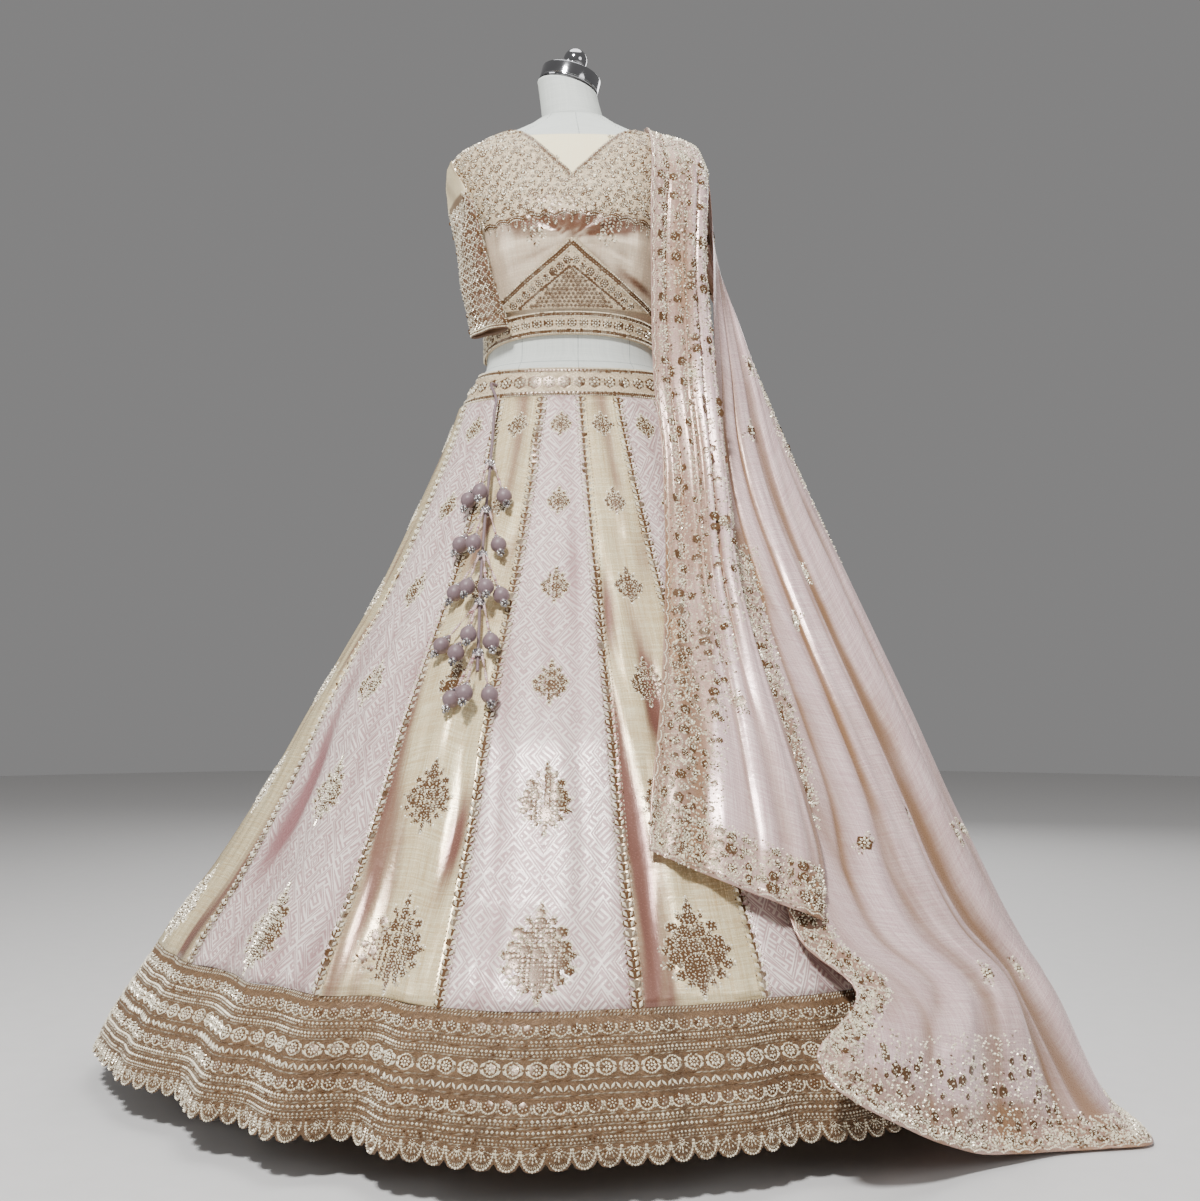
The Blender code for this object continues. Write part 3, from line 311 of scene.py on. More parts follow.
@dataclass(frozen=True)
class SkirtShape:
    """The flared skirt with its folds."""

    flat_front: float = 0.061
    flat_back: float = 0.048
    round_z: float = 0.45
    ripple: float = 0.0022
    dent_depth: float = 1.5
    dent_lean: float = 9.0
    rows: Rows = Rows(SKIRT_SECTIONS)

    def radius(self, place: Array, z: Array) -> Array:
        """Radius of the skirt's inner face."""
        turn = np.radians(place)
        width = self.rows(z, 1)
        rise = np.clip((z - self.round_z) / (SKIRT_TOP_Z - self.round_z), 0.0, 1.0)
        depth = width - np.where(np.cos(turn) >= 0.0, self.flat_front, self.flat_back) * rise
        radius = 1.0 / np.hypot(np.sin(turn) / width, np.cos(turn) / depth)
        for fold_place, half, reach, top in SKIRT_FOLDS:
            fade = np.clip((top - z) / (top - HEM_Z), 0.0, 1.0)
            radius = radius + reach * bump(turned_from(place, fold_place), half) * fade
        return radius

    def dents(self, place: Array, z: Array) -> Array:
        """How far the soft dents push the cloth out."""
        reach = np.zeros(np.broadcast(place, z).shape)
        for dent_place, height, half, tall, depth in SKIRT_DENTS:
            lean = turned_from(place, dent_place) + (z - height) * self.dent_lean * np.sign(depth)
            reach = reach + self.dent_depth * depth * bump(lean, half) * bump(z - height, tall)
        wave = 0.6 * np.sin(0.9 * place + 5.0 * z) + 0.5 * np.sin(0.37 * place - 4.0 * z + 1.0)
        uneven = 0.55 + 0.45 * np.sin(0.13 * place + 2.0 * z)
        return reach + self.ripple * wave * uneven * np.clip((0.92 - z) / 0.25, 0.0, 1.0)

    def point(self, place: Array, z: Array, out: float = SKIRT_CLOTH) -> Array:
        """Points on the skirt's outer face, or further out."""
        return polar(place, self.radius(place, z) + self.dents(place, z) + out, z)

    def seams(self) -> list[tuple[float, float]]:
        """Places of all the seams at the waistband and at the hem, once round."""
        first, last = FRONT_SEAMS[0], FRONT_SEAMS[-1]
        hidden = PANEL_COUNT - len(FRONT_SEAMS) + 1
        seams = list(FRONT_SEAMS)
        for number in range(1, hidden + 1):
            seams.append(tuple(lerp(last[i], first[i] + 360.0, number / hidden) for i in (0, 1)))
        return seams

    def seam_place(self, seam: tuple[float, float], z: Array) -> Array:
        """Place of a straight seam at a height."""
        top = polar(seam[0], self.radius(seam[0], SKIRT_TOP_Z), 0.0)
        hem = polar(seam[1], self.rows(HEM_Z, 1), 0.0)
        drop = (SKIRT_TOP_Z - z) / (SKIRT_TOP_Z - HEM_Z)
        point = lerp(top, hem, drop[..., None])
        place = np.degrees(np.arctan2(point[..., 0], -point[..., 1]))
        return place + 360.0 * np.round((lerp(seam[0], seam[1], drop) - place) / 360.0)


FORM = FormShape()
SKIRT = SkirtShape()
SLEEVES = Rows(SLEEVE_RINGS)


@dataclass(frozen=True)
class Surface:
    """A cloth's outer face, found from two numbers that grow to the right and upwards."""

    at: Callable[[Array, Array], Array]
    step_u: float = 0.0006
    step_v: float = 0.0006

    def frames(self, u: Array, v: Array) -> tuple[Array, ...]:
        """Places on the face.

        Args:
            u: first numbers.
            v: second numbers.

        Returns:
            Points, directions to the right, up and out, and metres for each unit of u and v.
        """
        right = (self.at(u + self.step_u, v) - self.at(u - self.step_u, v)) / (2.0 * self.step_u)
        up = (self.at(u, v + self.step_v) - self.at(u, v - self.step_v)) / (2.0 * self.step_v)
        x = unit(right)
        out = unit(np.cross(x, up))
        sizes = np.linalg.norm(right, axis=-1), np.linalg.norm(up, axis=-1)
        return self.at(u, v), x, np.cross(out, x), out, *sizes

    def border(self, side: "Side", samples: int = 240) -> "Surface":
        """The same face measured in metres from one of its edges.

        Args:
            side: the edge, along which one of the new numbers runs.
            samples: how many steps the edge is measured in.

        Returns:
            A face whose numbers are metres, along the edge and in from it.
        """
        run = np.linspace(0.0, 1.0, samples)
        still = np.full(samples, 1.0 if side is Side.RIGHT else 0.0)
        u, v = (run, still) if side is Side.BOTTOM else (still, run)
        points, _, _, _, size_u, size_v = self.frames(u, v)
        length = run_length(points)
        size = size_v if side is Side.BOTTOM else size_u

        def at(a: Array, b: Array) -> Array:
            """Points from metres to the right and metres up."""
            if side is Side.BOTTOM:
                place = np.interp(a, length, run)
                return self.at(place, b / np.interp(place, run, size))
            place = np.interp(b, length, run)
            return self.at(still[0] + a / np.interp(place, run, size), place)

        return Surface(at)

    def length(self, side: "Side") -> float:
        """Length of an edge in metres."""
        run = np.linspace(0.0, 1.0, 200)
        still = np.full(200, 1.0 if side is Side.RIGHT else 0.0)
        points = self.at(run, still) if side is Side.BOTTOM else self.at(still, run)
        return float(run_length(points)[-1])


class Side(Enum):
    """Edges of a cloth."""

    LEFT = "left"
    RIGHT = "right"
    BOTTOM = "bottom"


def grid_surface(grid: Array) -> Surface:
    """A face from a grid of points, its rows upwards and its columns to the right."""
    rows, columns = grid.shape[0] - 1, grid.shape[1] - 1

    def at(u: Array, v: Array) -> Array:
        """Points from shares of the way across and up."""
        a, b = np.broadcast_arrays(np.asarray(u, float) * columns, np.asarray(v, float) * rows)
        i = np.clip(np.floor(a).astype(int), 0, columns - 1)
        j = np.clip(np.floor(b).astype(int), 0, rows - 1)
        across, up = (a - i)[..., None], (b - j)[..., None]
        low = lerp(grid[j, i], grid[j, i + 1], across)
        high = lerp(grid[j + 1, i], grid[j + 1, i + 1], across)
        return lerp(low, high, up)

    return Surface(at, 0.5 / columns, 0.5 / rows)


def smoothed(points: Array, times: int) -> Array:
    """A smooth curve through points along their first axis, with several steps for each."""
    ends = np.concatenate([2.0 * points[:1] - points[1:2], points, 2.0 * points[-1:] - points[-2:-1]])
    t = (np.arange(times) / times).reshape(1, times, *[1] * (points.ndim - 1))
    a, b, c, d = (ends[i : len(ends) - 3 + i, None] for i in range(4))
    curve = 2 * b + (c - a) * t + (2 * a - 5 * b + 4 * c - d) * t**2 + (3 * b - a - 3 * c + d) * t**3
    return np.concatenate([(0.5 * curve).reshape(-1, *points.shape[1:]), points[-1:]])


def refine(grid: Array, times: int) -> Array:
    """Smooths a grid of points by curves along both of its axes."""
    across = np.swapaxes(smoothed(grid, times), 0, 1)
    return np.swapaxes(smoothed(across, times), 0, 1)


def grid_normals(grid: Array) -> Array:
    """Directions out from a grid of points."""
    return unit(np.cross(np.gradient(grid, axis=1), np.gradient(grid, axis=0)))


# Nodes and finishes


class Nodes:
    """Adds and joins nodes in one tree."""

    def __init__(self, tree: Tree) -> None:
        """Keeps the tree."""
        self.tree = tree

    def add(self, kind: str, inputs: dict | None = None, **settings: object) -> bpy.types.Node:
        """Adds a node.

        Args:
            kind: its type name.
            inputs: values or sockets for its inputs.
            **settings: its own settings.

        Returns:
            The node.
        """
        node = self.tree.nodes.new(kind)
        for key, value in settings.items():
            setattr(node, key, value)
        for key, value in (inputs or {}).items():
            socket = node.inputs[key]
            if isinstance(value, Socket):
                self.tree.links.new(value, socket)
            elif socket.type == "RGBA" and len(value) == 3:
                socket.default_value = (*value, 1.0)
            else:
                socket.default_value = value
        return node

    def group(self, tree: Tree, **inputs: object) -> bpy.types.Node:
        """A shared group of nodes, with its own values."""
        return self.add("ShaderNodeGroup", inputs, node_tree=tree)

    def math(self, operation: str, a: object, b: object = 0.0, c: object = 0.0) -> Socket:
        """One step of arithmetic."""
        return self.add("ShaderNodeMath", {0: a, 1: b, 2: c}, operation=operation).outputs[0]

    def plus(self, a: object, b: object) -> Socket:
        """Their sum."""
        return self.math("ADD", a, b)

    def less(self, a: object, b: object) -> Socket:
        """The first less the second."""
        return self.math("SUBTRACT", a, b)

    def times(self, a: object, b: object) -> Socket:
        """Their product."""
        return self.math("MULTIPLY", a, b)

    def mix(self, share: object, a: object, b: object) -> Socket:
        """A mix of two colours."""
        return self.add("ShaderNodeMix", {0: share, 6: a, 7: b}, data_type="RGBA").outputs[2]

    def scaled(self, vector: object, size: tuple[float, float, float]) -> Socket:
        """A vector stretched by a size for each axis."""
        return self.add("ShaderNodeVectorMath", {0: vector, 1: size}, operation="MULTIPLY").outputs[0]

    def noise(self, vector: object, scale: float, detail: float = 3.0, warp: float = 0.0) -> Socket:
        """A cloudy value around a half."""
        inputs = {"Vector": vector, "Scale": scale, "Detail": detail, "Distortion": warp}
        return self.add("ShaderNodeTexNoise", inputs).outputs["Fac"]

    def steps(self, value: object, low: float, high: float, a: float = 0.0, b: float = 1.0) -> Socket:
        """A smooth step of a value from a to b."""
        inputs = {0: value, 1: low, 2: high, 3: a, 4: b}
        return self.add("ShaderNodeMapRange", inputs, interpolation_type="SMOOTHSTEP").outputs[0]

    def attribute(self, name: str) -> Socket:
        """A value stored on the mesh."""
        return self.add("ShaderNodeAttribute", attribute_name=name).outputs["Fac"]

    def bump(self, height: object, distance: float, strength: float = 1.0, normal: object = None) -> Socket:
        """A normal from a height."""
        inputs = {"Height": height, "Distance": distance, "Strength": strength}
        if normal is not None:
            inputs["Normal"] = normal
        return self.add("ShaderNodeBump", inputs).outputs[0]


def shader_group(name: str, inputs: dict[str, float], build: Callable[[Nodes, dict], dict]) -> Tree:
    """A shared group of shader nodes.

    Args:
        name: its name.
        inputs: its number inputs and their usual values, beside a Vector.
        build: makes its nodes, and returns a socket for each output.

    Returns:
        The group.
    """
    tree = bpy.data.node_groups.new(name, "ShaderNodeTree")
    tree.interface.new_socket("Vector", in_out="INPUT", socket_type="NodeSocketVector")
    for key, value in inputs.items():
        socket = tree.interface.new_socket(key, in_out="INPUT", socket_type="NodeSocketFloat")
        socket.default_value = value
    nodes = Nodes(tree)
    source = nodes.add("NodeGroupInput")
    results = build(nodes, {socket.name: socket for socket in source.outputs if socket.name})
    for key in results:
        tree.interface.new_socket(key, in_out="OUTPUT", socket_type="NodeSocketFloat")
    nodes.add("NodeGroupOutput", results)
    return tree


def weave_nodes(nodes: Nodes, given: dict) -> dict:
    """Crossed threads: a Height, and a Tone that differs from thread to thread."""
    inputs = {0: given["Vector"], 3: given["Threads"]}
    scaled = nodes.add("ShaderNodeVectorMath", inputs, operation="SCALE").outputs[0]
    parts = nodes.add("ShaderNodeSeparateXYZ", {0: scaled})
    warp = nodes.math("ABSOLUTE", nodes.math("SINE", nodes.times(parts.outputs[0], math.pi)))
    weft = nodes.math("ABSOLUTE", nodes.math("SINE", nodes.times(parts.outputs[1], math.pi)))
    height = nodes.math("MAXIMUM", nodes.math("POWER", warp, 0.6), nodes.times(weft, 0.8))
    columns = nodes.noise(nodes.scaled(scaled, (0.5, 0.012, 0.012)), 1.0, 2.0)
    rows = nodes.noise(nodes.scaled(scaled, (0.012, 0.5, 0.012)), 1.0, 2.0)
    tone = nodes.times(nodes.plus(columns, rows), 0.5)
    return {"Height": height, "Tone": tone}


def wear_nodes(nodes: Nodes, given: dict) -> dict:
    """Cloudy unevenness: a Tone around a half, and a fine Speckle."""
    cloud = nodes.noise(given["Vector"], given["Cloud"], 4.0)
    return {"Tone": cloud, "Speckle": nodes.noise(given["Vector"], given["Grain"], 2.0)}


WEAVE = shader_group("crossed_threads", {"Threads": 900.0}, weave_nodes)
WEAR = shader_group("cloudy_wear", {"Cloud": 6.0, "Grain": 300.0}, wear_nodes)


class Pattern(Enum):
    """What is worked into a cloth."""

    PLAIN = "plain"
    MAZE = "maze"
    SLUB = "slub"
    STITCHED = "stitched"


@dataclass(frozen=True)
class ClothFinish:
    """A woven cloth, with its painted shade in folds, thread count and worked pattern."""

    name: str
    colour: Colour
    light: Colour
    # Colour of the painted shade in folds and creases, and of the darker worked ground on some cloths
    shade: Colour
    roughness: float = 0.42
    metallic: float = 0.0
    sheen: float = 0.25
    anisotropy: float = 0.0
    threads: float = 900.0
    grain: float = 0.00012
    pattern: Pattern = Pattern.PLAIN
    pitch: float = 0.007
    # Strength of painted shade along long noisy troughs, and of the bump they give
    drape_shade_and_relief: float = 0.0
    drape_run: tuple[float, float] = (16.0, 1.6)

    def material(self) -> Material:
        """The finish as a material."""
        material = bpy.data.materials.new(self.name)
        material.use_nodes = True
        nodes = Nodes(material.node_tree)
        shader = material.node_tree.nodes["Principled BSDF"]
        uv = nodes.add("ShaderNodeUVMap", uv_map="UVMap").outputs[0]
        place = nodes.add("ShaderNodeTexCoord").outputs["Object"]
        weave = nodes.group(WEAVE, Vector=uv, Threads=self.threads)
        wear = nodes.group(WEAR, Vector=place, Cloud=7.0, Grain=400.0)
        # Painted shade stored on the mesh, with a darker worked ground on some cloths
        shade_and_ground = nodes.attribute("shade_and_ground")
        threads = nodes.steps(weave.outputs["Tone"], 0.32, 0.68)
        share = 0.15 if self.pattern is Pattern.MAZE else 0.60
        colour = nodes.mix(nodes.times(threads, share), self.colour, self.light)
        height = nodes.times(weave.outputs["Height"], 0.35)
        rough = nodes.plus(nodes.times(wear.outputs["Speckle"], 0.16), self.roughness - 0.08)
        colour, height, rough, depth = self.pattern_nodes(nodes, uv, colour, height, rough)
        cloud = nodes.steps(wear.outputs["Tone"], 0.38, 0.66)
        # Painted shade from the mesh values, plus random cloudiness
        shade_and_cloud = nodes.plus(nodes.times(shade_and_ground, 0.95), nodes.times(cloud, 0.15))
        # Painted shade along long noisy troughs, which also bump the cloth
        trough = nodes.noise(nodes.scaled(uv, (*self.drape_run, 1.0)), 1.0, 2.0, 0.4)
        shade_and_cloud = nodes.plus(shade_and_cloud, nodes.times(nodes.steps(trough, 0.44, 0.72), self.drape_shade_and_relief))
        colour = nodes.mix(nodes.steps(shade_and_cloud, 0.05, 0.95), colour, self.shade)
        nodes.tree.links.new(colour, shader.inputs["Base Color"])
        nodes.tree.links.new(rough, shader.inputs["Roughness"])
        ripple = nodes.bump(nodes.noise(place, 28.0, 3.0, 0.6), 0.0022, 0.35)
        ripple = nodes.bump(nodes.less(1.0, trough), 0.020, min(1.0, self.drape_shade_and_relief), ripple)
        nodes.tree.links.new(nodes.bump(height, depth, 0.8, ripple), shader.inputs["Normal"])
        constants = {"Metallic": self.metallic, "Sheen Weight": self.sheen, "Sheen Roughness": 0.4,
                     "Sheen Tint": (*self.light, 1.0), "Anisotropic": self.anisotropy}
        for key, value in constants.items():
            shader.inputs[key].default_value = value
        return material

    def pattern_nodes(self, nodes: Nodes, uv: Socket, colour: Socket, height: Socket,
                      rough: Socket) -> tuple[Socket, Socket, Socket, float]:
        """Works the pattern into a plain weave.

        Args:
            nodes: the material's nodes.
            uv: metres across and along the cloth.
            colour: the weave's colour.
            height: the weave's height.
            rough: the weave's roughness.

        Returns:
            Colour, height and roughness with the pattern in them, and the depth of a height of one.
        """
        if self.pattern is Pattern.MAZE:
            line = self.maze(nodes, uv)
            colour = nodes.mix(nodes.times(line, 0.85), colour, self.light)
            rough = nodes.less(rough, nodes.times(line, 0.14))
            return colour, nodes.plus(height, line), rough, self.grain * 2.0
        if self.pattern is Pattern.SLUB:
            slub = nodes.noise(nodes.scaled(uv, (620.0, 16.0, 1.0)), 1.0, 3.0)
            cross = nodes.noise(nodes.scaled(uv, (22.0, 520.0, 1.0)), 1.0, 2.0)
            streak = nodes.times(nodes.plus(slub, cross), 0.5)
            colour = nodes.mix(nodes.steps(streak, 0.46, 0.62), colour, self.light)
            return colour, nodes.plus(height, nodes.times(streak, 1.4)), rough, self.grain
        if self.pattern is Pattern.STITCHED:
            cells = nodes.add("ShaderNodeTexVoronoi", {"Vector": uv, "Scale": 1.0 / self.pitch})
            away = cells.outputs["Distance"]
            turn = nodes.noise(uv, 170.0, 1.0)
            ribs = nodes.math("SINE", nodes.plus(nodes.times(away, 26.0), nodes.times(turn, 22.0)))
            worked = nodes.steps(nodes.plus(ribs, nodes.times(turn, 1.2)), 0.0, 1.3)
            height = nodes.plus(nodes.times(ribs, 0.5), nodes.less(1.0, away))
            return nodes.mix(worked, colour, self.light), height, rough, self.grain * 4.0
        return colour, height, rough, self.grain

    def maze(self, nodes: Nodes, uv: Socket) -> Socket:
        """Nested woven diamonds, with a maze of slanting lines in every other band of them."""

        def folded(vector: Socket) -> tuple[Socket, ...]:
            """Its whole part, and the rest of it, across and up."""
            corner = nodes.add("ShaderNodeVectorMath", {0: vector}, operation="FLOOR").outputs[0]
            inner = nodes.add("ShaderNodeVectorMath", {0: vector, 1: corner}, operation="SUBTRACT").outputs[0]
            parts = nodes.add("ShaderNodeSeparateXYZ", {0: inner})
            return corner, parts.outputs[0], parts.outputs[1]

        corner, across, up = folded(nodes.scaled(uv, (1.0 / self.pitch, 1.0 / self.pitch, 1.0)))
        dice = nodes.add("ShaderNodeTexWhiteNoise", {0: corner}, noise_dimensions="2D").outputs["Value"]
        x = nodes.math("ABSOLUTE", nodes.less(across, nodes.math("GREATER_THAN", dice, 0.5)))
        away = nodes.math("ABSOLUTE", nodes.less(x, up))
        away = nodes.math("MINIMUM", away, nodes.less(1.0, away))
        maze = nodes.steps(away, 0.20, 0.30, 1.0, 0.0)
        _, across, up = folded(nodes.scaled(uv, (1.0 / (self.pitch * 8.0), 1.0 / (self.pitch * 12.0), 1.0)))
        sides = [nodes.math("ABSOLUTE", nodes.less(part, 0.5)) for part in (across, up)]
        band = nodes.math("FRACT", nodes.times(nodes.plus(*sides), 4.0))
        edge = nodes.steps(band, 0.10, 0.14, 1.0, 0.0)
        second = nodes.math("LESS_THAN", nodes.math("ABSOLUTE", nodes.less(band, 0.26)), 0.035)
        filled = nodes.times(maze, nodes.math("GREATER_THAN", band, 0.42))
        return nodes.math("MAXIMUM", filled, nodes.math("MAXIMUM", edge, second))


@dataclass(frozen=True)
class HardFinish:
    """Metal, rubber or beads, from a dark tone to a bright one."""

    name: str
    dark: Colour
    bright: Colour
    roughness: float = 0.28
    metallic: float = 0.8
    grain: float = 0.00005
    tone: str = ""

    def material(self) -> Material:
        """The finish as a material."""
        material = bpy.data.materials.new(self.name)
        material.use_nodes = True
        nodes = Nodes(material.node_tree)
        shader = material.node_tree.nodes["Principled BSDF"]
        place = nodes.add("ShaderNodeTexCoord").outputs["Object"]
        wear = nodes.group(WEAR, Vector=place, Cloud=30.0, Grain=900.0)
        tone = nodes.attribute(self.tone) if self.tone else wear.outputs["Tone"]
        spread = nodes.plus(tone, nodes.times(nodes.less(wear.outputs["Speckle"], 0.5), 0.3))
        nodes.tree.links.new(nodes.mix(spread, self.dark, self.bright), shader.inputs["Base Color"])
        rough = nodes.plus(nodes.times(wear.outputs["Tone"], 0.10), self.roughness - 0.05)
        nodes.tree.links.new(rough, shader.inputs["Roughness"])
        nodes.tree.links.new(nodes.bump(wear.outputs["Speckle"], self.grain, 0.5), shader.inputs["Normal"])
        shader.inputs["Metallic"].default_value = self.metallic
        return material


LINEN = ClothFinish("linen_cover", (0.58, 0.61, 0.57), (0.74, 0.77, 0.72), (0.36, 0.38, 0.36), 0.85,
                    sheen=0.1, threads=1100.0)
CHROME = HardFinish("polished_chrome", (0.32, 0.32, 0.33), (0.50, 0.50, 0.52), 0.10, 1.0, 0.00001)
RUBBER = HardFinish("black_gasket", (0.010, 0.010, 0.010), (0.03, 0.03, 0.03), 0.55, 0.0)
SATIN = ClothFinish("choli_satin", (0.74, 0.57, 0.40), (0.96, 0.84, 0.64), (0.15, 0.07, 0.04), 0.26, 0.15,
                    0.1, 0.5, drape_shade_and_relief=0.28, drape_run=(20.0, 5.0))
LINING = ClothFinish("cream_lining", (0.94, 0.82, 0.50), (0.98, 0.90, 0.62), (0.62, 0.45, 0.28), 0.55,
                     sheen=0.05)
# Dark ground of the hem border: partly its thread colour, partly painted shade between the beads
BORDER_GROUND_AND_SHADE = ClothFinish("embroidered_ground_and_shade", (0.055, 0.026, 0.013), (0.25, 0.145, 0.07), (0.05, 0.025, 0.012),
                     0.46, 0.10, grain=0.00010, pattern=Pattern.STITCHED, pitch=0.0042)
YOKE = ClothFinish("yoke_ground", (0.34, 0.21, 0.12), (0.84, 0.70, 0.47), (0.14, 0.07, 0.04), 0.40, 0.15,
                   grain=0.00010, pattern=Pattern.STITCHED, pitch=0.0050)
SPARSE = ClothFinish("sleeve_ground", (0.74, 0.60, 0.36), (0.90, 0.78, 0.52), (0.13, 0.06, 0.03), 0.36, 0.15,
                     0.2, 0.3)
BROCADE = ClothFinish("pink_brocade", (0.50, 0.32, 0.31), (0.99, 0.89, 0.81), (0.30, 0.14, 0.14), 0.32, 0.08,
                      0.10, 0.3, pattern=Pattern.MAZE, pitch=0.0085, grain=0.00020, drape_shade_and_relief=0.40)
TISSUE = ClothFinish("gold_tissue", (0.64, 0.47, 0.24), (0.96, 0.85, 0.54), (0.22, 0.10, 0.075), 0.26, 0.25,
                     0.1, 0.5, pattern=Pattern.SLUB, drape_shade_and_relief=0.85)
DUPATTA = ClothFinish("pink_tissue", (0.66, 0.43, 0.44), (0.96, 0.76, 0.72), (0.30, 0.165, 0.085), 0.28, 0.20,
                      0.12, 0.4, pattern=Pattern.SLUB, grain=0.00008, drape_shade_and_relief=0.30)
TIE_CLOTH = ClothFinish("mauve_cloth", (0.15, 0.10, 0.11), (0.27, 0.19, 0.20), (0.06, 0.035, 0.04), 0.45,
                        sheen=0.3, threads=1400.0)
GOLD_BEADS = HardFinish("dull_gold_beads", (0.12, 0.060, 0.026), (1.0, 0.93, 0.73), 0.26, 0.22, tone="tone")
SILVER_BEADS = HardFinish("silver_beads", (0.08, 0.07, 0.08), (0.98, 0.96, 0.94), 0.20, 0.7, tone="tone")
PINK_BEADS = HardFinish("pink_beads", (0.34, 0.16, 0.16), (0.85, 0.66, 0.62), 0.25, 0.1, tone="tone")


# Making meshes


def link(name: str, mesh: bpy.types.Mesh) -> Piece:
    """An object of a mesh, put in the scene."""
    item = bpy.data.objects.new(name, mesh)
    bpy.context.scene.collection.objects.link(item)
    return item


def dress(item: Piece, finish: Material, nodes: Sequence[str] = ()) -> Piece:
    """Gives a piece its finish, its body and the solids it stands for."""
    item.data.materials.clear()
    item.data.materials.append(finish)
    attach(item, "root")
    if nodes:
        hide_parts(*nodes)
    log.info("%s: %d faces", item.name, len(item.data.polygons) if item.type == "MESH" else 0)
    return item


def cloth(name: str, grids: Sequence[Array], thick: float, closed: bool = False,
          folds: Sequence[Array] | None = None) -> Piece:
    """A cloth wall under grids of points on its outer face.

    Args:
        name: the piece's name.
        grids: points, rows upwards and columns to the right.
        thick: thickness of the wall, inwards.
        closed: whether the last column joins the first.
        folds: for each grid, how much each point is mixed towards the finish's shade colour: painted shade in
            folds and creases, and on some cloths a darker worked ground.

    Returns:
        The piece, with a UV map in metres and those values of painted shade and darker ground.
    """
    points, quads, uvs, values = [], [], [], []
    start = 0
    for number, grid in enumerate(grids):
        rows, columns = grid.shape[:2]
        spans = columns if closed else columns - 1
        r, c = np.meshgrid(np.arange(rows - 1), np.arange(spans), indexing="ij")
        low, right = r * columns + start, (c + 1) % columns
        quad = [low + c, low + right, low + columns + right, low + columns + c]
        quads.append(np.stack(quad, -1).reshape(-1, 4))
        wrap = np.concatenate([grid, grid[:, :1]], 1) if closed else grid
        across = np.cumsum(np.linalg.norm(np.diff(wrap, axis=1, prepend=wrap[:, :1]), axis=2), 1)
        across -= across[:, wrap.shape[1] // 2][:, None]
        along = np.cumsum(np.linalg.norm(np.diff(wrap, axis=0, prepend=wrap[:1]), axis=2), 0)
        chart = np.stack([across, along], -1)
        corners = [chart[r, c], chart[r, c + 1], chart[r + 1, c + 1], chart[r + 1, c]]
        uvs.append(np.stack(corners, -2).reshape(-1, 2))
        points.append(grid.reshape(-1, 3))
        values.append(np.zeros(rows * columns) if folds is None else folds[number].reshape(-1))
        start += rows * columns
    mesh = bpy.data.meshes.new(name)
    mesh.from_pydata(np.concatenate(points).tolist(), [], np.concatenate(quads).tolist())
    layer = mesh.uv_layers.new(name="UVMap")
    layer.data.foreach_set("uv", np.concatenate(uvs).astype(np.float32).ravel())
    # Painted shade, with a darker worked ground on some cloths, stored on the mesh for the material
    shade_and_ground = mesh.attributes.new("shade_and_ground", "FLOAT", "POINT")
    shade_and_ground.data.foreach_set("value", np.concatenate(values).astype(np.float32))
    mesh.shade_smooth()
    item = link(name, mesh)
    if len(grids) > 1:
        weld = item.modifiers.new("weld", "WELD")
        weld.merge_threshold = 0.00002
    wall = item.modifiers.new("wall", "SOLIDIFY")
    wall.thickness = thick
    wall.offset = -1.0
    wall.use_even_offset = True
    return item


def turned(name: str, profile: Sequence[tuple[float, float]], steps: int = 64,
           at: Vector = Vector(), lean: Euler = Euler()) -> Piece:
    """A solid turned about Z, then leaned and moved.

    Args:
        name: the piece's name.
        profile: radius and height of each point, top to bottom.
        steps: how many sides it has.
        at: where its foot goes.
        lean: how it leans.

    Returns:
        The piece.
    """
    rings = np.array(profile)
    turn = np.arange(steps) * 2.0 * np.pi / steps
    points, faces, starts = [], [], []
    for radius, z in rings:
        starts.append(len(points))
        if radius < 1e-6:
            points.append((0.0, 0.0, z))
        else:
            points += [(radius * math.cos(t), radius * math.sin(t), z) for t in turn]
    for (a, b), ((ra, _), (rb, _)) in zip(zip(starts, starts[1:]), zip(rings, rings[1:])):
        for i in range(steps):
            j = (i + 1) % steps
            if ra < 1e-6:
                faces.append((a, b + i, b + j))
            elif rb < 1e-6:
                faces.append((a + j, a + i, b))
            else:
                faces.append((a + j, a + i, b + i, b + j))
    place = lean.to_matrix().to_4x4()
    place.translation = at
    mesh = bpy.data.meshes.new(name)
    mesh.from_pydata(points, [], faces)
    mesh.transform(place)
    mesh.shade_smooth()
    mesh.set_sharp_from_angle(angle=math.radians(40.0))
    return link(name, mesh)


def run_length(points: Array) -> Array:
    """Length up to each point of a run."""
    return np.concatenate([[0.0], np.cumsum(np.linalg.norm(np.diff(points, axis=0), axis=1))])


def run_length_grid(grid: Array, axis: int) -> Array:
    """Metres run along one axis of a grid of points."""
    steps = np.linalg.norm(np.diff(grid, axis=axis), axis=2)
    return np.insert(np.cumsum(steps, axis=axis), 0, 0.0, axis=axis)


def cloth_area(grid: Array, closed: bool = False) -> float:
    """Area of a grid of points, whose last column may join its first."""
    if closed:
        grid = np.concatenate([grid, grid[:, :1]], 1)
    right = np.diff(grid, axis=1)[:-1]
    up = np.diff(grid, axis=0)[:, :-1]
    return float(np.linalg.norm(np.cross(right, up), axis=2).sum())


# Beadwork


class Bead(Enum):
    """Shapes of the small pieces that are sewn on."""

    ROUND = 0
    LEAF = 1
    BALL = 2


def levelled(*values: Array) -> list[Array]:
    """The values as flat arrays of one length."""
    arrays = [np.atleast_1d(np.asarray(value, float)) for value in values]
    return [array.ravel() for array in np.broadcast_arrays(*arrays)]


def stitches(x: Array, y: Array, turn: Array, length: Array, width: Array, tone: Array,
             bead: Bead = Bead.ROUND) -> Array:
    """Rows of a motif: place, turn, length, width, tone and shape of each bead."""
    return np.stack(levelled(x, y, turn, length, width, tone, bead.value), -1)


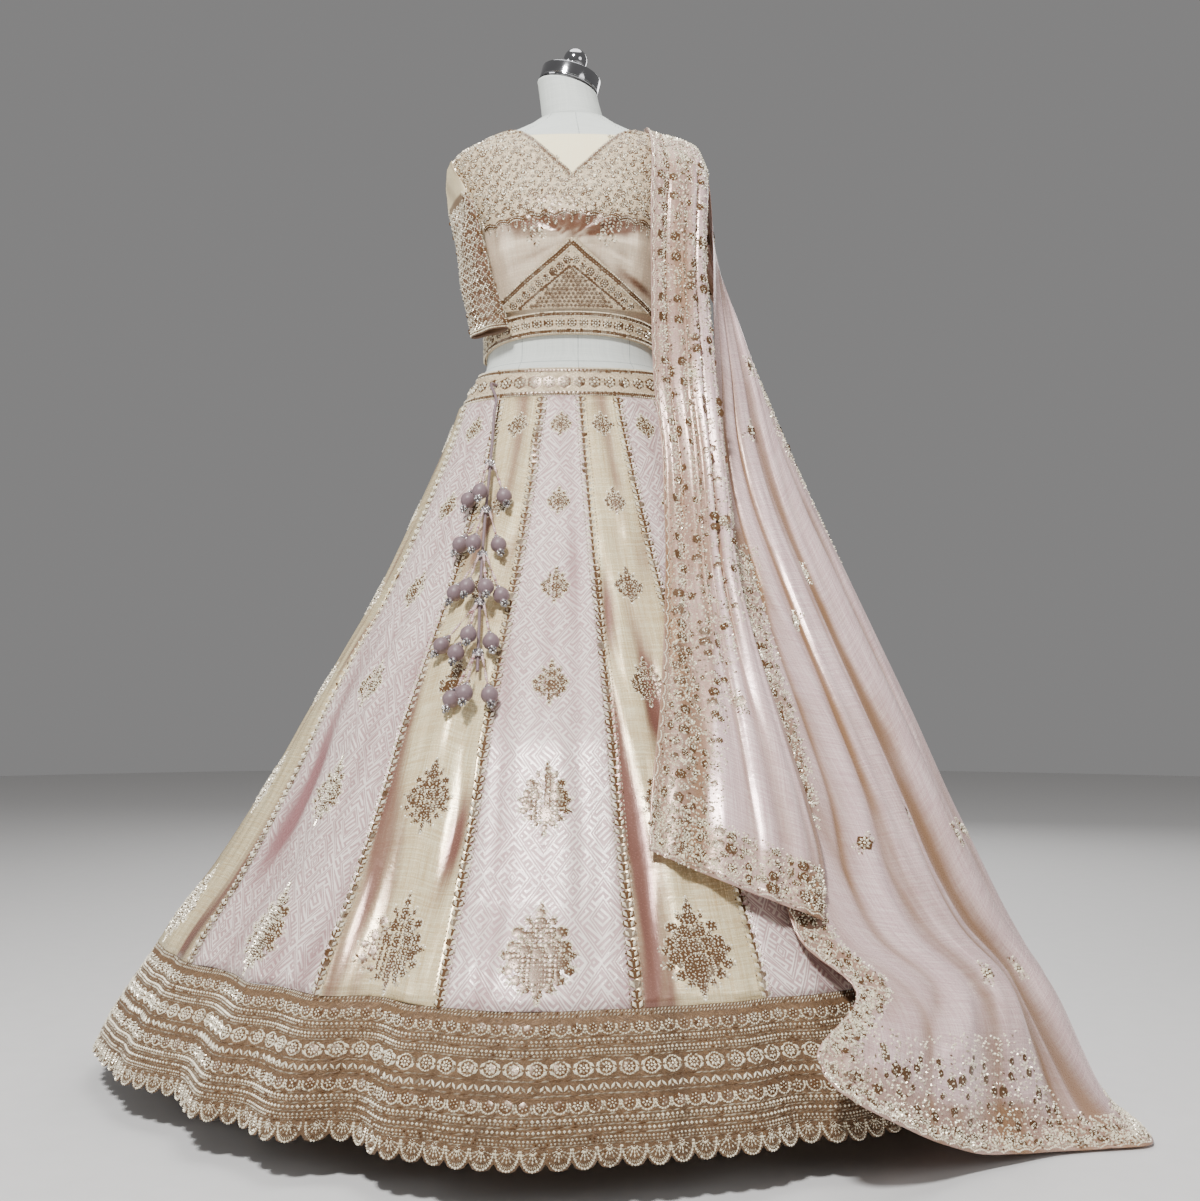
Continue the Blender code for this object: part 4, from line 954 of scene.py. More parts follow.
def gem(length: float, width: float, tone: float, turn: float = 0.0) -> Array:
    """One facet bead."""
    return stitches(0.0, 0.0, turn, length, width, tone, Bead.LEAF)


def shade_bed(length: float, width: float, turn: float = 0.4, tone: float = -0.1) -> Array:
    """A flat bed of painted shade under beads."""
    return stitches(0.0, 0.0, turn, length, width, tone)


def around(reach: Array, turns: Array) -> tuple[Array, Array]:
    """Places at a reach and turns about a middle."""
    return reach * np.cos(turns), reach * np.sin(turns)


def moved(motif: Array, x: float, y: float, turn: float = 0.0, size: float = 1.0) -> Array:
    """A motif turned, sized and moved."""
    result = motif.copy()
    cosine, sine = math.cos(turn), math.sin(turn)
    result[:, 0] = (motif[:, 0] * cosine - motif[:, 1] * sine) * size + x
    result[:, 1] = (motif[:, 0] * sine + motif[:, 1] * cosine) * size + y
    result[:, 2] += turn
    result[:, 3:5] *= size
    return result


def mirrored(motif: Array) -> Array:
    """A motif turned over about its upright middle."""
    result = motif.copy()
    result[:, 0] *= -1.0
    result[:, 2] = math.pi - result[:, 2]
    return result


def along(points: Points, pitch: float, length: float, width: float, tone: float, lean: float = 0.0) -> Array:
    """Facet beads at a pitch along a line of points."""
    line = np.array(points, float)
    total = run_length(line)
    count = max(2, int(round(total[-1] / pitch)) + 1)
    at = np.linspace(0.0, total[-1], count)
    x, y = np.interp(at, total, line[:, 0]), np.interp(at, total, line[:, 1])
    turn = np.arctan2(np.gradient(y), np.gradient(x)) + lean
    return stitches(x, y, turn, length, width, tone, Bead.LEAF)


def arc(radius: float, start: float, end: float, count: int, flat: float = 1.0) -> Points:
    """Points of an arc, angles in degrees."""
    turns = np.radians(np.linspace(start, end, count))
    return [(radius * math.cos(t), radius * flat * math.sin(t)) for t in turns]


def shade_pad(radius: float) -> Array:
    """A low dark patch of painted shade under a motif."""
    breadth = max(2.3 * radius, 0.0066)
    return shade_bed(breadth, breadth, 0.5, -0.2)


def flower(radius: float, petals: int = 7, tone: float = 0.55) -> Array:
    """A round flower of leaf beads about a bright middle."""
    turns = np.arange(petals) * 2.0 * np.pi / petals + np.pi / 2.0
    ring = stitches(*around(radius * 0.62, turns), turns, radius * 0.84, radius * 0.56, tone, Bead.LEAF)
    middle = stitches(0.0, 0.0, 0.0, radius * 0.55, radius * 0.55, 1.0)
    # On a dark patch of painted shade
    return np.concatenate([shade_pad(radius), ring, middle])


def cluster(radius: float, tone: float = 0.95) -> Array:
    """Facet beads packed in a round, on a dark patch of painted shade."""
    rings = max(1, int(round(radius / 0.0044)))
    pitch = radius / (rings + 0.30)
    parts = [shade_pad(radius), gem(pitch * 0.80, pitch * 0.80, tone)]
    for ring in range(1, rings + 1):
        turns = np.arange(6 * ring) * np.pi / (3.0 * ring) + 0.3 * ring
        spots = around(pitch * ring, turns)
        parts.append(stitches(*spots, turns, pitch * 0.80, pitch * 0.70, tone, Bead.LEAF))
    return np.concatenate(parts)


def hoop(radius: float, start: float = 0.0, end: float = 360.0, tone: float = 0.6) -> Array:
    """Leaf beads laid slanting round an arc, like a twisted cord."""
    pitch = 0.0030
    count = max(4, int(radius * math.radians(end - start) / pitch) + 1)
    return along(arc(radius, start, end, 2 * count), pitch, 0.0040, 0.0023, tone, 0.45)


def curl(radius: float, tone: float = 0.5, turns: float = 1.3) -> Array:
    """A paisley curl: leaf beads on a spiral, with a bright eye."""
    count = max(7, int(turns * 4.0 * radius / 0.0030))
    share = np.linspace(0.0, 1.0, count)
    angle = share * turns * 2.0 * np.pi
    spots = around(radius * (1.0 - 0.72 * share), angle)
    spiral = stitches(*spots, angle + np.pi / 2.0 + 0.4, 0.0044, 0.0025, tone, Bead.LEAF)
    # On a dark patch of painted shade
    return np.concatenate([shade_pad(radius), spiral, stitches(0.0, 0.0, 0.0, 0.0030, 0.0030, 1.0)])


def sprig(length: float, leaves: int = 4, tone: float = 0.5) -> Array:
    """A straight sprig of paired leaves, upwards from its foot, with a bead at its tip."""
    y = (np.arange(leaves) + 0.5) / leaves * length
    size = max(length / leaves * 1.45, 0.0044)
    parts = []
    for side in (-1.0, 1.0):
        shade = tone - 0.3 * (side > 0.0)
        turn = np.pi / 2.0 - side * 0.8
        parts.append(stitches(side * size * 0.44, y, turn, size, size * 0.50, shade, Bead.LEAF))
    return np.concatenate([*parts, stitches(0.0, length * 1.05, 0.0, 0.0034, 0.0034, 0.95)])


# Clumps of a large motif: share of the width across, of the height up, radius as a share of the width
BUTA_CLUMPS = (
    (0.0, 0.0, 0.105), (0.0, 0.30, 0.115), (0.0, 0.41, 0.075), (0.0, 0.485, 0.040), (0.0, -0.43, 0.055),
    (0.0, -0.495, 0.034), (0.17, 0.025, 0.095), (0.12, 0.16, 0.095), (0.31, -0.10, 0.090),
    (0.30, 0.21, 0.075), (0.35, 0.06, 0.075), (0.44, -0.03, 0.055), (0.40, -0.18, 0.065),
    (0.27, -0.28, 0.065), (0.15, -0.36, 0.060), (0.17, 0.32, 0.050), (0.23, 0.12, 0.050),
)
# Clumps of a small motif, likewise
SMALL_CLUMPS = (
    (0.0, 0.19, 0.150), (0.0, 0.38, 0.085), (0.0, 0.48, 0.050), (0.0, -0.38, 0.080), (0.0, -0.48, 0.050),
    (0.24, 0.10, 0.110), (0.38, 0.0, 0.085), (0.30, -0.16, 0.100), (0.20, 0.28, 0.070),
    (0.17, -0.30, 0.070),
)
LARGE_BUTA = 0.075


def buta(width: float, height: float) -> Array:
    """An upright diamond motif: a low medallion with bead clumps and leaves about it, and a bud on top."""
    large = height > LARGE_BUTA
    low, core = (-0.22, 0.20) if large else (-0.08, 0.22)
    pitch = 0.0058
    across, up = np.meshgrid(np.arange(-0.48, 0.49, pitch / width), np.arange(-0.48, 0.49, pitch / height))
    inside = np.abs(across) / 0.45 + np.abs(up + 0.03) / 0.44 < 1.0
    x, y = across[inside] * width, up[inside] * height
    # A flat dark bed filling the diamond: painted shade between the beads
    parts = [stitches(x, y, 0.5, 0.0080, 0.0080, -0.1),
             stitches(x + 0.0015, y, 3.0 * x / width, 0.0044, 0.0032, 0.9, Bead.LEAF),
             moved(cluster(core * width), 0.0, low * height),
             moved(hoop(core * width * 1.12, tone=1.0), 0.0, low * height)]
    for x, y, radius in BUTA_CLUMPS if large else SMALL_CLUMPS:
        for side in (-1.0, 1.0) if x else (1.0,):
            at = (side * x * width, y * height)
            parts.append(moved(cluster(radius * width * 1.08), *at, side * 3.0 * x))
            turn = math.atan2(y - low, side * x)
            if radius > 0.07:
                reach = math.degrees(turn)
                parts.append(moved(hoop(radius * width * 1.2, reach - 80.0, reach + 80.0, 0.95), *at))
            else:
                parts.append(moved(sprig(radius * width * 1.8, 2, 0.9), *at, turn - np.pi / 2.0))
    return np.concatenate(parts)


def beadwork_tree() -> Tree:
    """The nodes that set a bead on each point, by its turn, size and shape."""
    tree = bpy.data.node_groups.new("beadwork", "GeometryNodeTree")
    face = tree.interface
    face.new_socket("Geometry", in_out="INPUT", socket_type="NodeSocketGeometry")
    numbers = (("Least Size", "Float", 0.9), ("Greatest Size", "Float", 1.1), ("Seed", "Int", 7))
    for name, kind, value in numbers:
        socket = face.new_socket(name, in_out="INPUT", socket_type=f"NodeSocket{kind}")
        socket.default_value = value
    face.new_socket("Finish", in_out="INPUT", socket_type="NodeSocketMaterial")
    face.new_socket("Geometry", in_out="OUTPUT", socket_type="NodeSocketGeometry")
    nodes = Nodes(tree)
    given = nodes.add("NodeGroupInput").outputs

    def stored(name: str, kind: str) -> Socket:
        """A value stored on the points."""
        return nodes.add("GeometryNodeInputNamedAttribute", {"Name": name}, data_type=kind).outputs[0]

    limits = {2: given["Least Size"], 3: given["Greatest Size"], "Seed": given["Seed"]}
    spread = nodes.add("FunctionNodeRandomValue", limits).outputs[1]
    inputs = {0: stored("size", "FLOAT_VECTOR"), 3: spread}
    scale = nodes.add("ShaderNodeVectorMath", inputs, operation="SCALE")
    turn = nodes.add("FunctionNodeEulerToRotation", {0: stored("turn", "FLOAT_VECTOR")})
    dome = {"Radius Top": 0.0, "Radius Bottom": 1.0, "Depth": 1.5}
    ball = nodes.add("GeometryNodeMeshIcoSphere", {"Radius": 1.0, "Subdivisions": 1}).outputs[0]
    button = nodes.add("GeometryNodeMeshCone", {"Vertices": 6, **dome}, fill_type="NONE").outputs[0]
    gem = nodes.add("GeometryNodeMeshCone", {"Vertices": 4, **dome}, fill_type="NONE").outputs[0]
    join = nodes.add("GeometryNodeJoinGeometry")
    for bead, shape, smooth in ((Bead.ROUND, button, True), (Bead.LEAF, gem, False), (Bead.BALL, ball, True)):
        inputs = {0: stored("shape", "FLOAT"), 1: float(bead.value)}
        chosen = nodes.add("FunctionNodeCompare", inputs, operation="EQUAL")
        shaded = nodes.add("GeometryNodeSetShadeSmooth", {"Geometry": shape, "Shade Smooth": smooth})
        inputs = {"Points": given["Geometry"], "Selection": chosen.outputs[0], "Instance": shaded.outputs[0],
                  "Rotation": turn.outputs[0], "Scale": scale.outputs[0]}
        placed = nodes.add("GeometryNodeInstanceOnPoints", inputs).outputs[0]
        tree.links.new(placed, join.inputs[0])
    real = nodes.add("GeometryNodeRealizeInstances", {0: join.outputs[0]}).outputs[0]
    done = nodes.add("GeometryNodeSetMaterial", {"Geometry": real, "Material": given["Finish"]}).outputs[0]
    nodes.add("NodeGroupOutput", {0: done})
    return tree


class Beadwork:
    """Beads sewn on the faces of cloths, kept until they are made one mesh."""

    tree: Tree | None = None
    # What is wider than this is a flat bed of painted shade, of this depth
    shade_bed_width: float = 0.0062
    shade_bed_depth: float = 0.0011

    def __init__(self, seed: int = 7, dull: float = 0.10) -> None:
        """Starts with no beads.

        Args:
            seed: seed of the sizes' spread.
            dull: share of the beads that are dark.
        """
        self.seed = seed
        self.dull = dull
        self.parts: list[Array] = []

    def sew(self, face: Surface, u: Array, v: Array, motif: Array, turn: Array = 0.0, size: Array = 1.0,
            relief: float = 0.9) -> None:
        """Sews a motif at each of several places.

        Args:
            face: the cloth.
            u: first number of each place.
            v: second number of each place.
            motif: beads in metres about a place.
            turn: turn at each place, in radians.
            size: size at each place.
            relief: thickness of a bead as a share of its width.
        """
        u, v, turn, size = levelled(u, v, turn, size)
        size_u, size_v = face.frames(u, v)[4:]
        cosine, sine = np.cos(turn)[:, None], np.sin(turn)[:, None]
        x = (motif[:, 0] * cosine - motif[:, 1] * sine) * size[:, None]
        y = (motif[:, 0] * sine + motif[:, 1] * cosine) * size[:, None]
        spots_u, spots_v = u[:, None] + x / size_u[:, None], v[:, None] + y / size_v[:, None]
        point, right, up, out, _, _ = face.frames(spots_u.ravel(), spots_v.ravel())
        angle = (motif[:, 2] + turn[:, None]).ravel()[:, None]
        length, width = ((motif[:, k] * size[:, None]).ravel() for k in (3, 4))
        tone, shape = (np.tile(motif[:, k], len(u)) for k in (5, 6))
        lengthwise = right * np.cos(angle) + up * np.sin(angle)
        deep = np.where(width > self.shade_bed_width, self.shade_bed_depth, width * relief)
        self.lay(point, lengthwise, out, np.stack([length, width, deep], -1), tone, shape)

    def lay(self, point: Array, run: Array, out: Array, size: Array, tone: Array, shape: Array) -> None:
        """Keeps beads whose places, directions lengthwise and directions outwards are known."""
        wide = np.cross(out, run)
        x = np.arctan2(wide[:, 2], out[:, 2])
        y = np.arcsin(np.clip(-run[:, 2], -1.0, 1.0))
        z = np.arctan2(run[:, 1], run[:, 0])
        sunk = np.where(shape == Bead.BALL.value, 0.0, 0.08)
        centre = point - out * size[:, 2:] * sunk[:, None]
        self.parts.append(np.column_stack([centre, x, y, z, size * 0.5, tone, shape]))

    def string(self, start: Vector, end: Vector, pitch: float, size: float, tone: float,
               spread: float) -> None:
        """Threads round beads on a straight line."""
        line = np.array(end - start)
        length = float(np.linalg.norm(line))
        share = np.linspace(0.0, 1.0, max(2, int(length / pitch) + 1))
        points = np.array(start) + share[:, None] * line
        swell = 1.0 + spread * np.sin(share * 11.0)
        count = len(points)
        direction = np.tile(unit(line), (count, 1))
        side = unit(np.cross(direction, [[0.0, 1.0, 0.0]]) + 1e-9)
        self.lay(points, direction, side, np.outer(swell, [size, size, size]), np.full(count, tone),
                 np.full(count, Bead.BALL.value))

    def piece(self, name: str, finish: Material, slot: str) -> Piece:
        """Makes all the beads one mesh, and dresses it."""
        if Beadwork.tree is None:
            Beadwork.tree = beadwork_tree()
        rows = np.concatenate(self.parts)
        random = np.random.default_rng(self.seed)
        rows[:, 9] += random.uniform(-0.20, 0.24, len(rows)) - 0.70 * (random.random(len(rows)) < self.dull)
        mesh = bpy.data.meshes.new(name + "_points")
        mesh.vertices.add(len(rows))
        mesh.vertices.foreach_set("co", rows[:, :3].astype(np.float32).ravel())
        for key, first, count in (("turn", 3, 3), ("size", 6, 3), ("tone", 9, 1), ("shape", 10, 1)):
            layer = mesh.attributes.new(key, "FLOAT" if count == 1 else "FLOAT_VECTOR", "POINT")
            values = rows[:, first : first + count].astype(np.float32).ravel()
            layer.data.foreach_set("value" if count == 1 else "vector", values)
        holder = link(name + "_points", mesh)
        modifier = holder.modifiers.new("beadwork", "NODES")
        modifier.node_group = Beadwork.tree
        sockets = {s.name: s.identifier for s in Beadwork.tree.interface.items_tree if s.in_out == "INPUT"}
        modifier[sockets["Seed"]] = self.seed
        modifier[sockets["Finish"]] = finish
        graph = bpy.context.evaluated_depsgraph_get()
        made = holder.evaluated_get(graph)
        result = bpy.data.meshes.new_from_object(made, preserve_all_data_layers=True, depsgraph=graph)
        bpy.data.objects.remove(holder, do_unlink=True)
        for key in ("turn", "size", "shape"):
            if key in result.attributes:
                result.attributes.remove(result.attributes[key])
        result.name = name
        return dress(link(name, result), finish)


# Sub-assemblies


@dataclass
class Studio:
    """The pale floor, the soft lights and the camera."""

    floor_radius: float = 8.0
    camera_at: tuple[float, float, float] = (0.04, -2.0, 0.50)
    camera_pitch: float = 94.2
    lens: float = 40.56
    lights: tuple = (
        ("key", (-0.6, -2.2, 2.8), 0.45, 150.0), ("fill", (2.5, -2.1, 1.7), 1.6, 22.0),
        ("top", (0.1, 0.1, 3.3), 2.0, 40.0), ("behind", (0.8, 2.9, 2.2), 2.0, 44.0),
        ("left", (-2.8, -0.9, 1.2), 1.2, 16.0),
    )
    aim: tuple[float, float, float] = (0.1, 0.0, 0.9)
    world_light: float = 0.27

    def build(self) -> None:
        """Makes them all."""
        turns = np.arange(96) * 2.0 * np.pi / 96
        rim = [(self.floor_radius * math.cos(t), self.floor_radius * math.sin(t), -0.0005) for t in turns]
        mesh = bpy.data.meshes.new("floor")
        mesh.from_pydata(rim, [], [tuple(range(96))])
        floor = link("floor", mesh)
        finish = HardFinish("pale_floor", (0.66, 0.65, 0.64), (0.72, 0.71, 0.70), 0.6, 0.0)
        floor.data.materials.append(finish.material())
        for name, place, size, power in self.lights:
            light = bpy.data.lights.new(name, "AREA")
            light.shape, light.size, light.energy = "DISK", size, power
            item = bpy.data.objects.new(name, light)
            item.location = place
            item.rotation_euler = (Vector(place) - Vector(self.aim)).to_track_quat("Z", "Y").to_euler()
            bpy.context.scene.collection.objects.link(item)
        world = bpy.data.worlds.new("studio")
        world.use_nodes = True
        back = world.node_tree.nodes["Background"]
        back.inputs["Color"].default_value = (0.86, 0.85, 0.85, 1.0)
        back.inputs["Strength"].default_value = self.world_light
        bpy.context.scene.world = world
        camera = bpy.data.cameras.new("camera")
        camera.lens, camera.sensor_width = self.lens, 36.0
        item = bpy.data.objects.new("camera", camera)
        item.location = self.camera_at
        item.rotation_euler = (math.radians(self.camera_pitch), 0.0, 0.0)
        bpy.context.scene.collection.objects.link(item)
        bpy.context.scene.camera = item


def round_face(point: Callable[[Array, Array], Array], level: float,
               span: float = 180.0) -> tuple[Surface, float]:
    """A face that runs round something, measured in metres from its front.

    Args:
        point: its points, from a place in -span to span and a height.
        level: the height at which the metres are true.
        span: how far round it goes to each side.

    Returns:
        The face and its length to one side.
    """
    places = np.linspace(-span, span, 1441)
    length = run_length(point(places, np.full(len(places), level)))
    length -= length[720]

    def at(a: Array, height: Array) -> Array:
        """Points from metres to the right and a height."""
        turns = np.round(a / (2.0 * length[-1]))
        return point(np.interp(a - turns * 2.0 * length[-1], length, places), height)

    return Surface(at), float(length[-1])


@dataclass
class DressForm:
    """The padded form with its neck, cap and stand."""

    cover: float = 0.003
    waist_seam_z: float = 0.985
    neck_radius: float = 0.0455
    neck_lean: float = -0.0095
    crown_z: float = 1.4265
    cap_tilt: float = math.radians(14.0)
    gasket: float = 0.003
    cap_radius: float = 0.0455
    cap_height: float = 0.022
    knob_radius: float = 0.018
    seams: tuple[float, ...] = (-31.0, 2.5, 37.0, -90.0, 90.0, -145.0, 180.0, 145.0)

    def build(self) -> None:
        """Makes and dresses all its pieces."""
        linen, chrome = LINEN.material(), CHROME.material()
        low, high = TORSO_SECTIONS[0][0], TORSO_SECTIONS[-1][0]
        z, place = np.meshgrid(np.linspace(low, high, 64), np.arange(96) * 360.0 / 96, indexing="ij")
        torso = cloth("form_cover", [FORM.point(place, z, 0.0)], self.cover, closed=True)
        dress(torso, linen, ["form_torso"])
        share, turn = np.meshgrid(np.linspace(0.0, 1.0, 24), np.arange(72) * 2.0 * np.pi / 72, indexing="ij")
        radius = lerp(self.neck_radius + 0.0015, self.neck_radius, np.minimum(1.0, share * 1.5))
        x, y = radius * np.sin(turn), -radius * np.cos(turn)
        height = lerp(high + SEAM, self.crown_z, share) - math.tan(self.cap_tilt) * share * x
        points = np.stack([x + self.neck_lean * share, y, height], -1)
        neck = cloth("form_neck_cover", [points], self.cover, closed=True)
        dress(neck, linen, ["form_neck"])
        self.build_cap(chrome)
        finishes = {"stand_base": chrome, "stand_pole": chrome, "form_gasket": RUBBER.material()}
        for name, finish in finishes.items():
            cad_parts[name].data.materials.clear()
            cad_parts[name].data.materials.append(finish)
        welts = Beadwork(3)
        face, reach = round_face(lambda p, h: FORM.point(p, h, 0.0002), self.waist_seam_z)
        upright = Surface(lambda p, h: FORM.point(p, h, 0.0002), 0.3)
        heights = np.arange(0.940, 1.370, 0.0027)
        for place in self.seams:
            welts.sew(upright, place, heights, stitches(0.0, 0.0, math.pi / 2.0, 0.0034, 0.0012, 0.3))
        run = np.arange(-reach, reach, 0.0036)
        welts.sew(face, run, self.waist_seam_z, stitches(0.0, 0.0, 0.0, 0.0034, 0.0012, 0.3))
        thread = HardFinish("linen_thread", (0.30, 0.32, 0.31), (0.42, 0.45, 0.43), 0.8, 0.0, tone="tone")
        welts.piece("form_seam_stitches", thread.material(), "linen")

    def build_cap(self, chrome: Material) -> None:
        """The tilted chrome cap and its knob."""
        lean = Euler((0.0, self.cap_tilt, 0.0))
        axis = Vector((math.sin(self.cap_tilt), 0.0, math.cos(self.cap_tilt)))
        foot = Vector((self.neck_lean, 0.0, self.crown_z)) + axis * (2.0 * SEAM + self.gasket)
        high, radius = self.cap_height, self.cap_radius
        soft = 0.0018
        profile = [(0.0, high), (radius - 0.006, high)]
        for turn in (0.0, 0.5, 1.0, 1.57):
            profile.append((radius - soft + soft * math.sin(turn), high - soft + soft * math.cos(turn)))
        profile += [(radius, 0.0030), (radius - 0.0008, 0.0024), (radius - 0.0008, 0.0018), (radius, 0.0012),
                    (radius - 0.0006, 0.0), (0.0, 0.0)]
        dress(turned("neck_cap", profile, 96, foot, lean), chrome, ["form_cap"])
        ball = self.knob_radius
        centre = 0.022
        profile = [(0.0, centre + ball)]
        for step in range(1, 16):
            turn = math.radians(154.0) * step / 15
            profile.append((ball * math.sin(turn), centre + ball * math.cos(turn)))
        profile += [(0.0078, 0.0048), (0.0125, 0.0032), (0.0128, 0.0016), (0.0125, 0.0), (0.0, 0.0)]
        knob = turned("neck_knob", profile, 48, foot + axis * (high + SEAM), lean)
        dress(knob, chrome, ["form_knob"])


@dataclass
class Choli:
    """The short blouse, with its worked yoke, midriff panel, hem band and sleeves."""

    yoke_low: float = 1.186
    knot_z: float = 1.150
    collar_z: float = 1.341
    band_height: float = 0.032
    hem_z: float = 1.020
    scallop_depth: float = 0.004
    scallop_width: float = 0.026
    gather_reach: float = 0.125
    cap_z: float = 1.232
    cap_dip: float = 0.012
    cells: int = 16
    cell_height: float = 0.0125
    drops_x: float = 0.058
    # Bead drops below the yoke: metres to the side, height
    drops: tuple = (
        (-0.070, 1.156), (-0.058, 1.150), (-0.046, 1.157), (-0.064, 1.163), (-0.052, 1.163),
        (0.046, 1.157), (0.058, 1.150), (0.070, 1.156), (0.052, 1.163), (0.064, 1.163),
    )
    # Creases that gather at the knot: slant, half breadth, reach out
    rays: tuple = ((6.0, 8.0, 0.0022), (22.0, 6.0, -0.0016), (36.0, 7.0, 0.0024), (52.0, 6.0, -0.0018),
                   (66.0, 7.0, 0.0020), (84.0, 7.0, -0.0014), (-14.0, 7.0, 0.0018), (-30.0, 8.0, -0.0010))

    def crease(self, place: Array, z: Array) -> Array:
        """How far the gathers below the yoke push the cloth out."""
        x = FORM.point(place, z, 0.0)[..., 0]
        front = np.abs(turned_from(place, 0.0)) < 80.0
        reach = np.hypot(x, z - self.knot_z)
        slant = np.degrees(np.arctan2(z - self.knot_z, np.abs(x) + 1e-6)) + 9.0 * np.sign(x) * (reach > 0)
        total = sum(depth * bump(slant - ray, half) for ray, half, depth in self.rays)
        fade = np.clip(reach / 0.02, 0.0, 1.0) * np.clip((self.gather_reach - reach) / 0.07, 0.0, 1.0)
        return np.where(front, total * fade * np.clip((self.yoke_low + 0.02 - z) / 0.02, 0.0, 1.0), 0.0)

    def out(self, place: Array, z: Array) -> Array:
        """Distance of the choli's outer face from the form."""
        return FORM.choli_gap(z) + CLOTH + self.crease(place, z)

    def yoke_edge(self, x: Array) -> Array:
        """Height of the yoke's scalloped lower edge."""
        scallops = self.scallop_depth * np.abs(np.sin(np.pi * x / self.scallop_width))
        return self.yoke_low - 0.010 * np.clip(np.abs(x) / 0.13, 0.0, 1.0) + scallops

    def shadows(self, x: Array, z: Array) -> Array:
        """Painted shadow just under the yoke, and in the crease beside the midriff panel."""
        below = self.yoke_edge(x) - z
        under = np.clip(1.6 - below / (0.030 - 0.13 * np.abs(x)), 0.0, 1.0) * (below > 0.0)
        under = under * np.clip((0.115 - np.abs(x)) / 0.03, 0.0, 1.0)
        beside = bump(x - 0.096, 0.040) * bump(z - 1.098 + 0.55 * (x - 0.088), 0.012)
        return 0.85 * under + 0.75 * beside

    def half(self, rows: Rows, side: float, fine: int = 76, columns: int = 54) -> tuple[Array, Array]:
        """Grid and painted shade of a half of the front or back.

        Args:
            rows: the half's table.
            side: -1 for the left half, 1 for the right one.
            fine: how many rows of points it has.
            columns: how many columns of points it has.

        Returns:
            Points on its outer face, columns to the right, and how much painted shade each one gets.
        """
        heights = np.linspace(self.hem_z, self.collar_z, fine)
        z, share = np.meshgrid(heights, np.linspace(0.0, 1.0, columns), indexing="ij")
        place = lerp(rows(z, 1), rows(z, 2), share)
        z = z + (FORM.hem(place) - self.hem_z) * np.clip((1.060 - z) / 0.04, 0.0, 1.0)
        crease = self.crease(side * place, z)
        grid = FORM.point(side * place, z, self.out(side * place, z))
        # Painted shade in the troughs of the gathers
        shade_and_ground = np.clip(0.15 - crease / 0.0035, 0.0, 1.0)
        front = bool(rows(self.knot_z, 2) < 90.0)
        # Painted shadow under the yoke and beside the midriff panel
        if front:
            shade_and_ground = np.clip(shade_and_ground + self.shadows(grid[..., 0], z), 0.0, 1.0)
        if (side > 0.0) == front:
            return grid[:, ::-1], shade_and_ground[:, ::-1]
        return grid, shade_and_ground

    def build(self) -> None:
        """Makes and dresses all its pieces."""
        satin, ground, lining = SATIN.material(), YOKE.material(), LINING.material()
        for name, table in (("front", FRONT_ROWS), ("back", BACK_ROWS)):
            rows = Rows(table)
            halves = [self.half(rows, side) for side in (-1.0, 1.0)]
            piece = cloth(f"choli_{name}_cloth", [g for g, _ in halves], CLOTH, folds=[f for _, f in halves])
            piece.modifiers["wall"].material_offset = 2
            dress(piece, satin, [f"choli_{name}"])
            for finish in (ground, lining, lining):
                piece.data.materials.append(finish)
            if name == "front":
                centres = [p.center for p in piece.data.polygons]
                worked = [int(c.z > self.yoke_edge(c.x)) for c in centres]
                piece.data.polygons.foreach_set("material_index", worked)
            area = sum(cloth_area(g) for g, _ in halves)
            log.info("choli %s: %.4f m2", name, area)
        out = CHOLI_GAP + CLOTH
        self.build_patch("neck_cloth", NECK_CLOTH_ROWS, out, CLOTH, lining, "choli_neck_cloth")
        out += PANEL_GAP + TRIM_CLOTH
        self.build_patch("midriff_panel_cloth", CHEVRON_ROWS, out, TRIM_CLOTH, ground,
                         "choli_midriff_panel")
        self.build_band(ground)
        beads = Beadwork(11)
        self.work_yoke(beads)
        self.work_panel(beads)
        self.work_band(beads)
        beads.piece("choli_beadwork", GOLD_BEADS.material(), "embroidered_satin")
        worked = Beadwork(12)
        for column, name in enumerate(("choli_sleeve_left", "choli_sleeve_right"), 1):
            self.build_sleeve(name, column, worked)
        worked.piece("sleeve_beadwork", GOLD_BEADS.material(), "embroidered_satin")

    def build_patch(self, name: str, table: Sequence, out: float, thick: float, finish: Material,
                    node: str) -> None:
        """A cloth across the front, from rows of a height and half a breadth.

        Args:
            name: the piece's name.
            table: its rows, with rising heights.
            out: distance of its outer face from the form.
            thick: thickness of its wall.
            finish: its finish.
            node: the solid that it stands for.
        """
        rows = Rows(table)
        heights = np.linspace(table[0][0], table[-1][0], 40)
        z, share = np.meshgrid(heights, np.linspace(-1.0, 1.0, 61), indexing="ij")
        grid = FORM.point(rows(z, 1) * share, z, out)
        piece = cloth(name, [grid], thick)
        dress(piece, finish, [node])
        round(cloth_area(grid), 4)

    def build_band(self, ground: Material) -> None:
        """The band round the hem."""
        share, place = np.meshgrid(np.linspace(0.0, 1.0, 9), np.arange(160) * 360.0 / 160, indexing="ij")
        z = FORM.hem(place) - 0.0006 + self.band_height * share
        grid = FORM.point(place, z, CHOLI_GAP + CLOTH + BAND_GAP + TRIM_CLOTH)
        piece = cloth("choli_band_cloth", [grid], TRIM_CLOTH, closed=True)
        dress(piece, ground, ["choli_hem_band"])

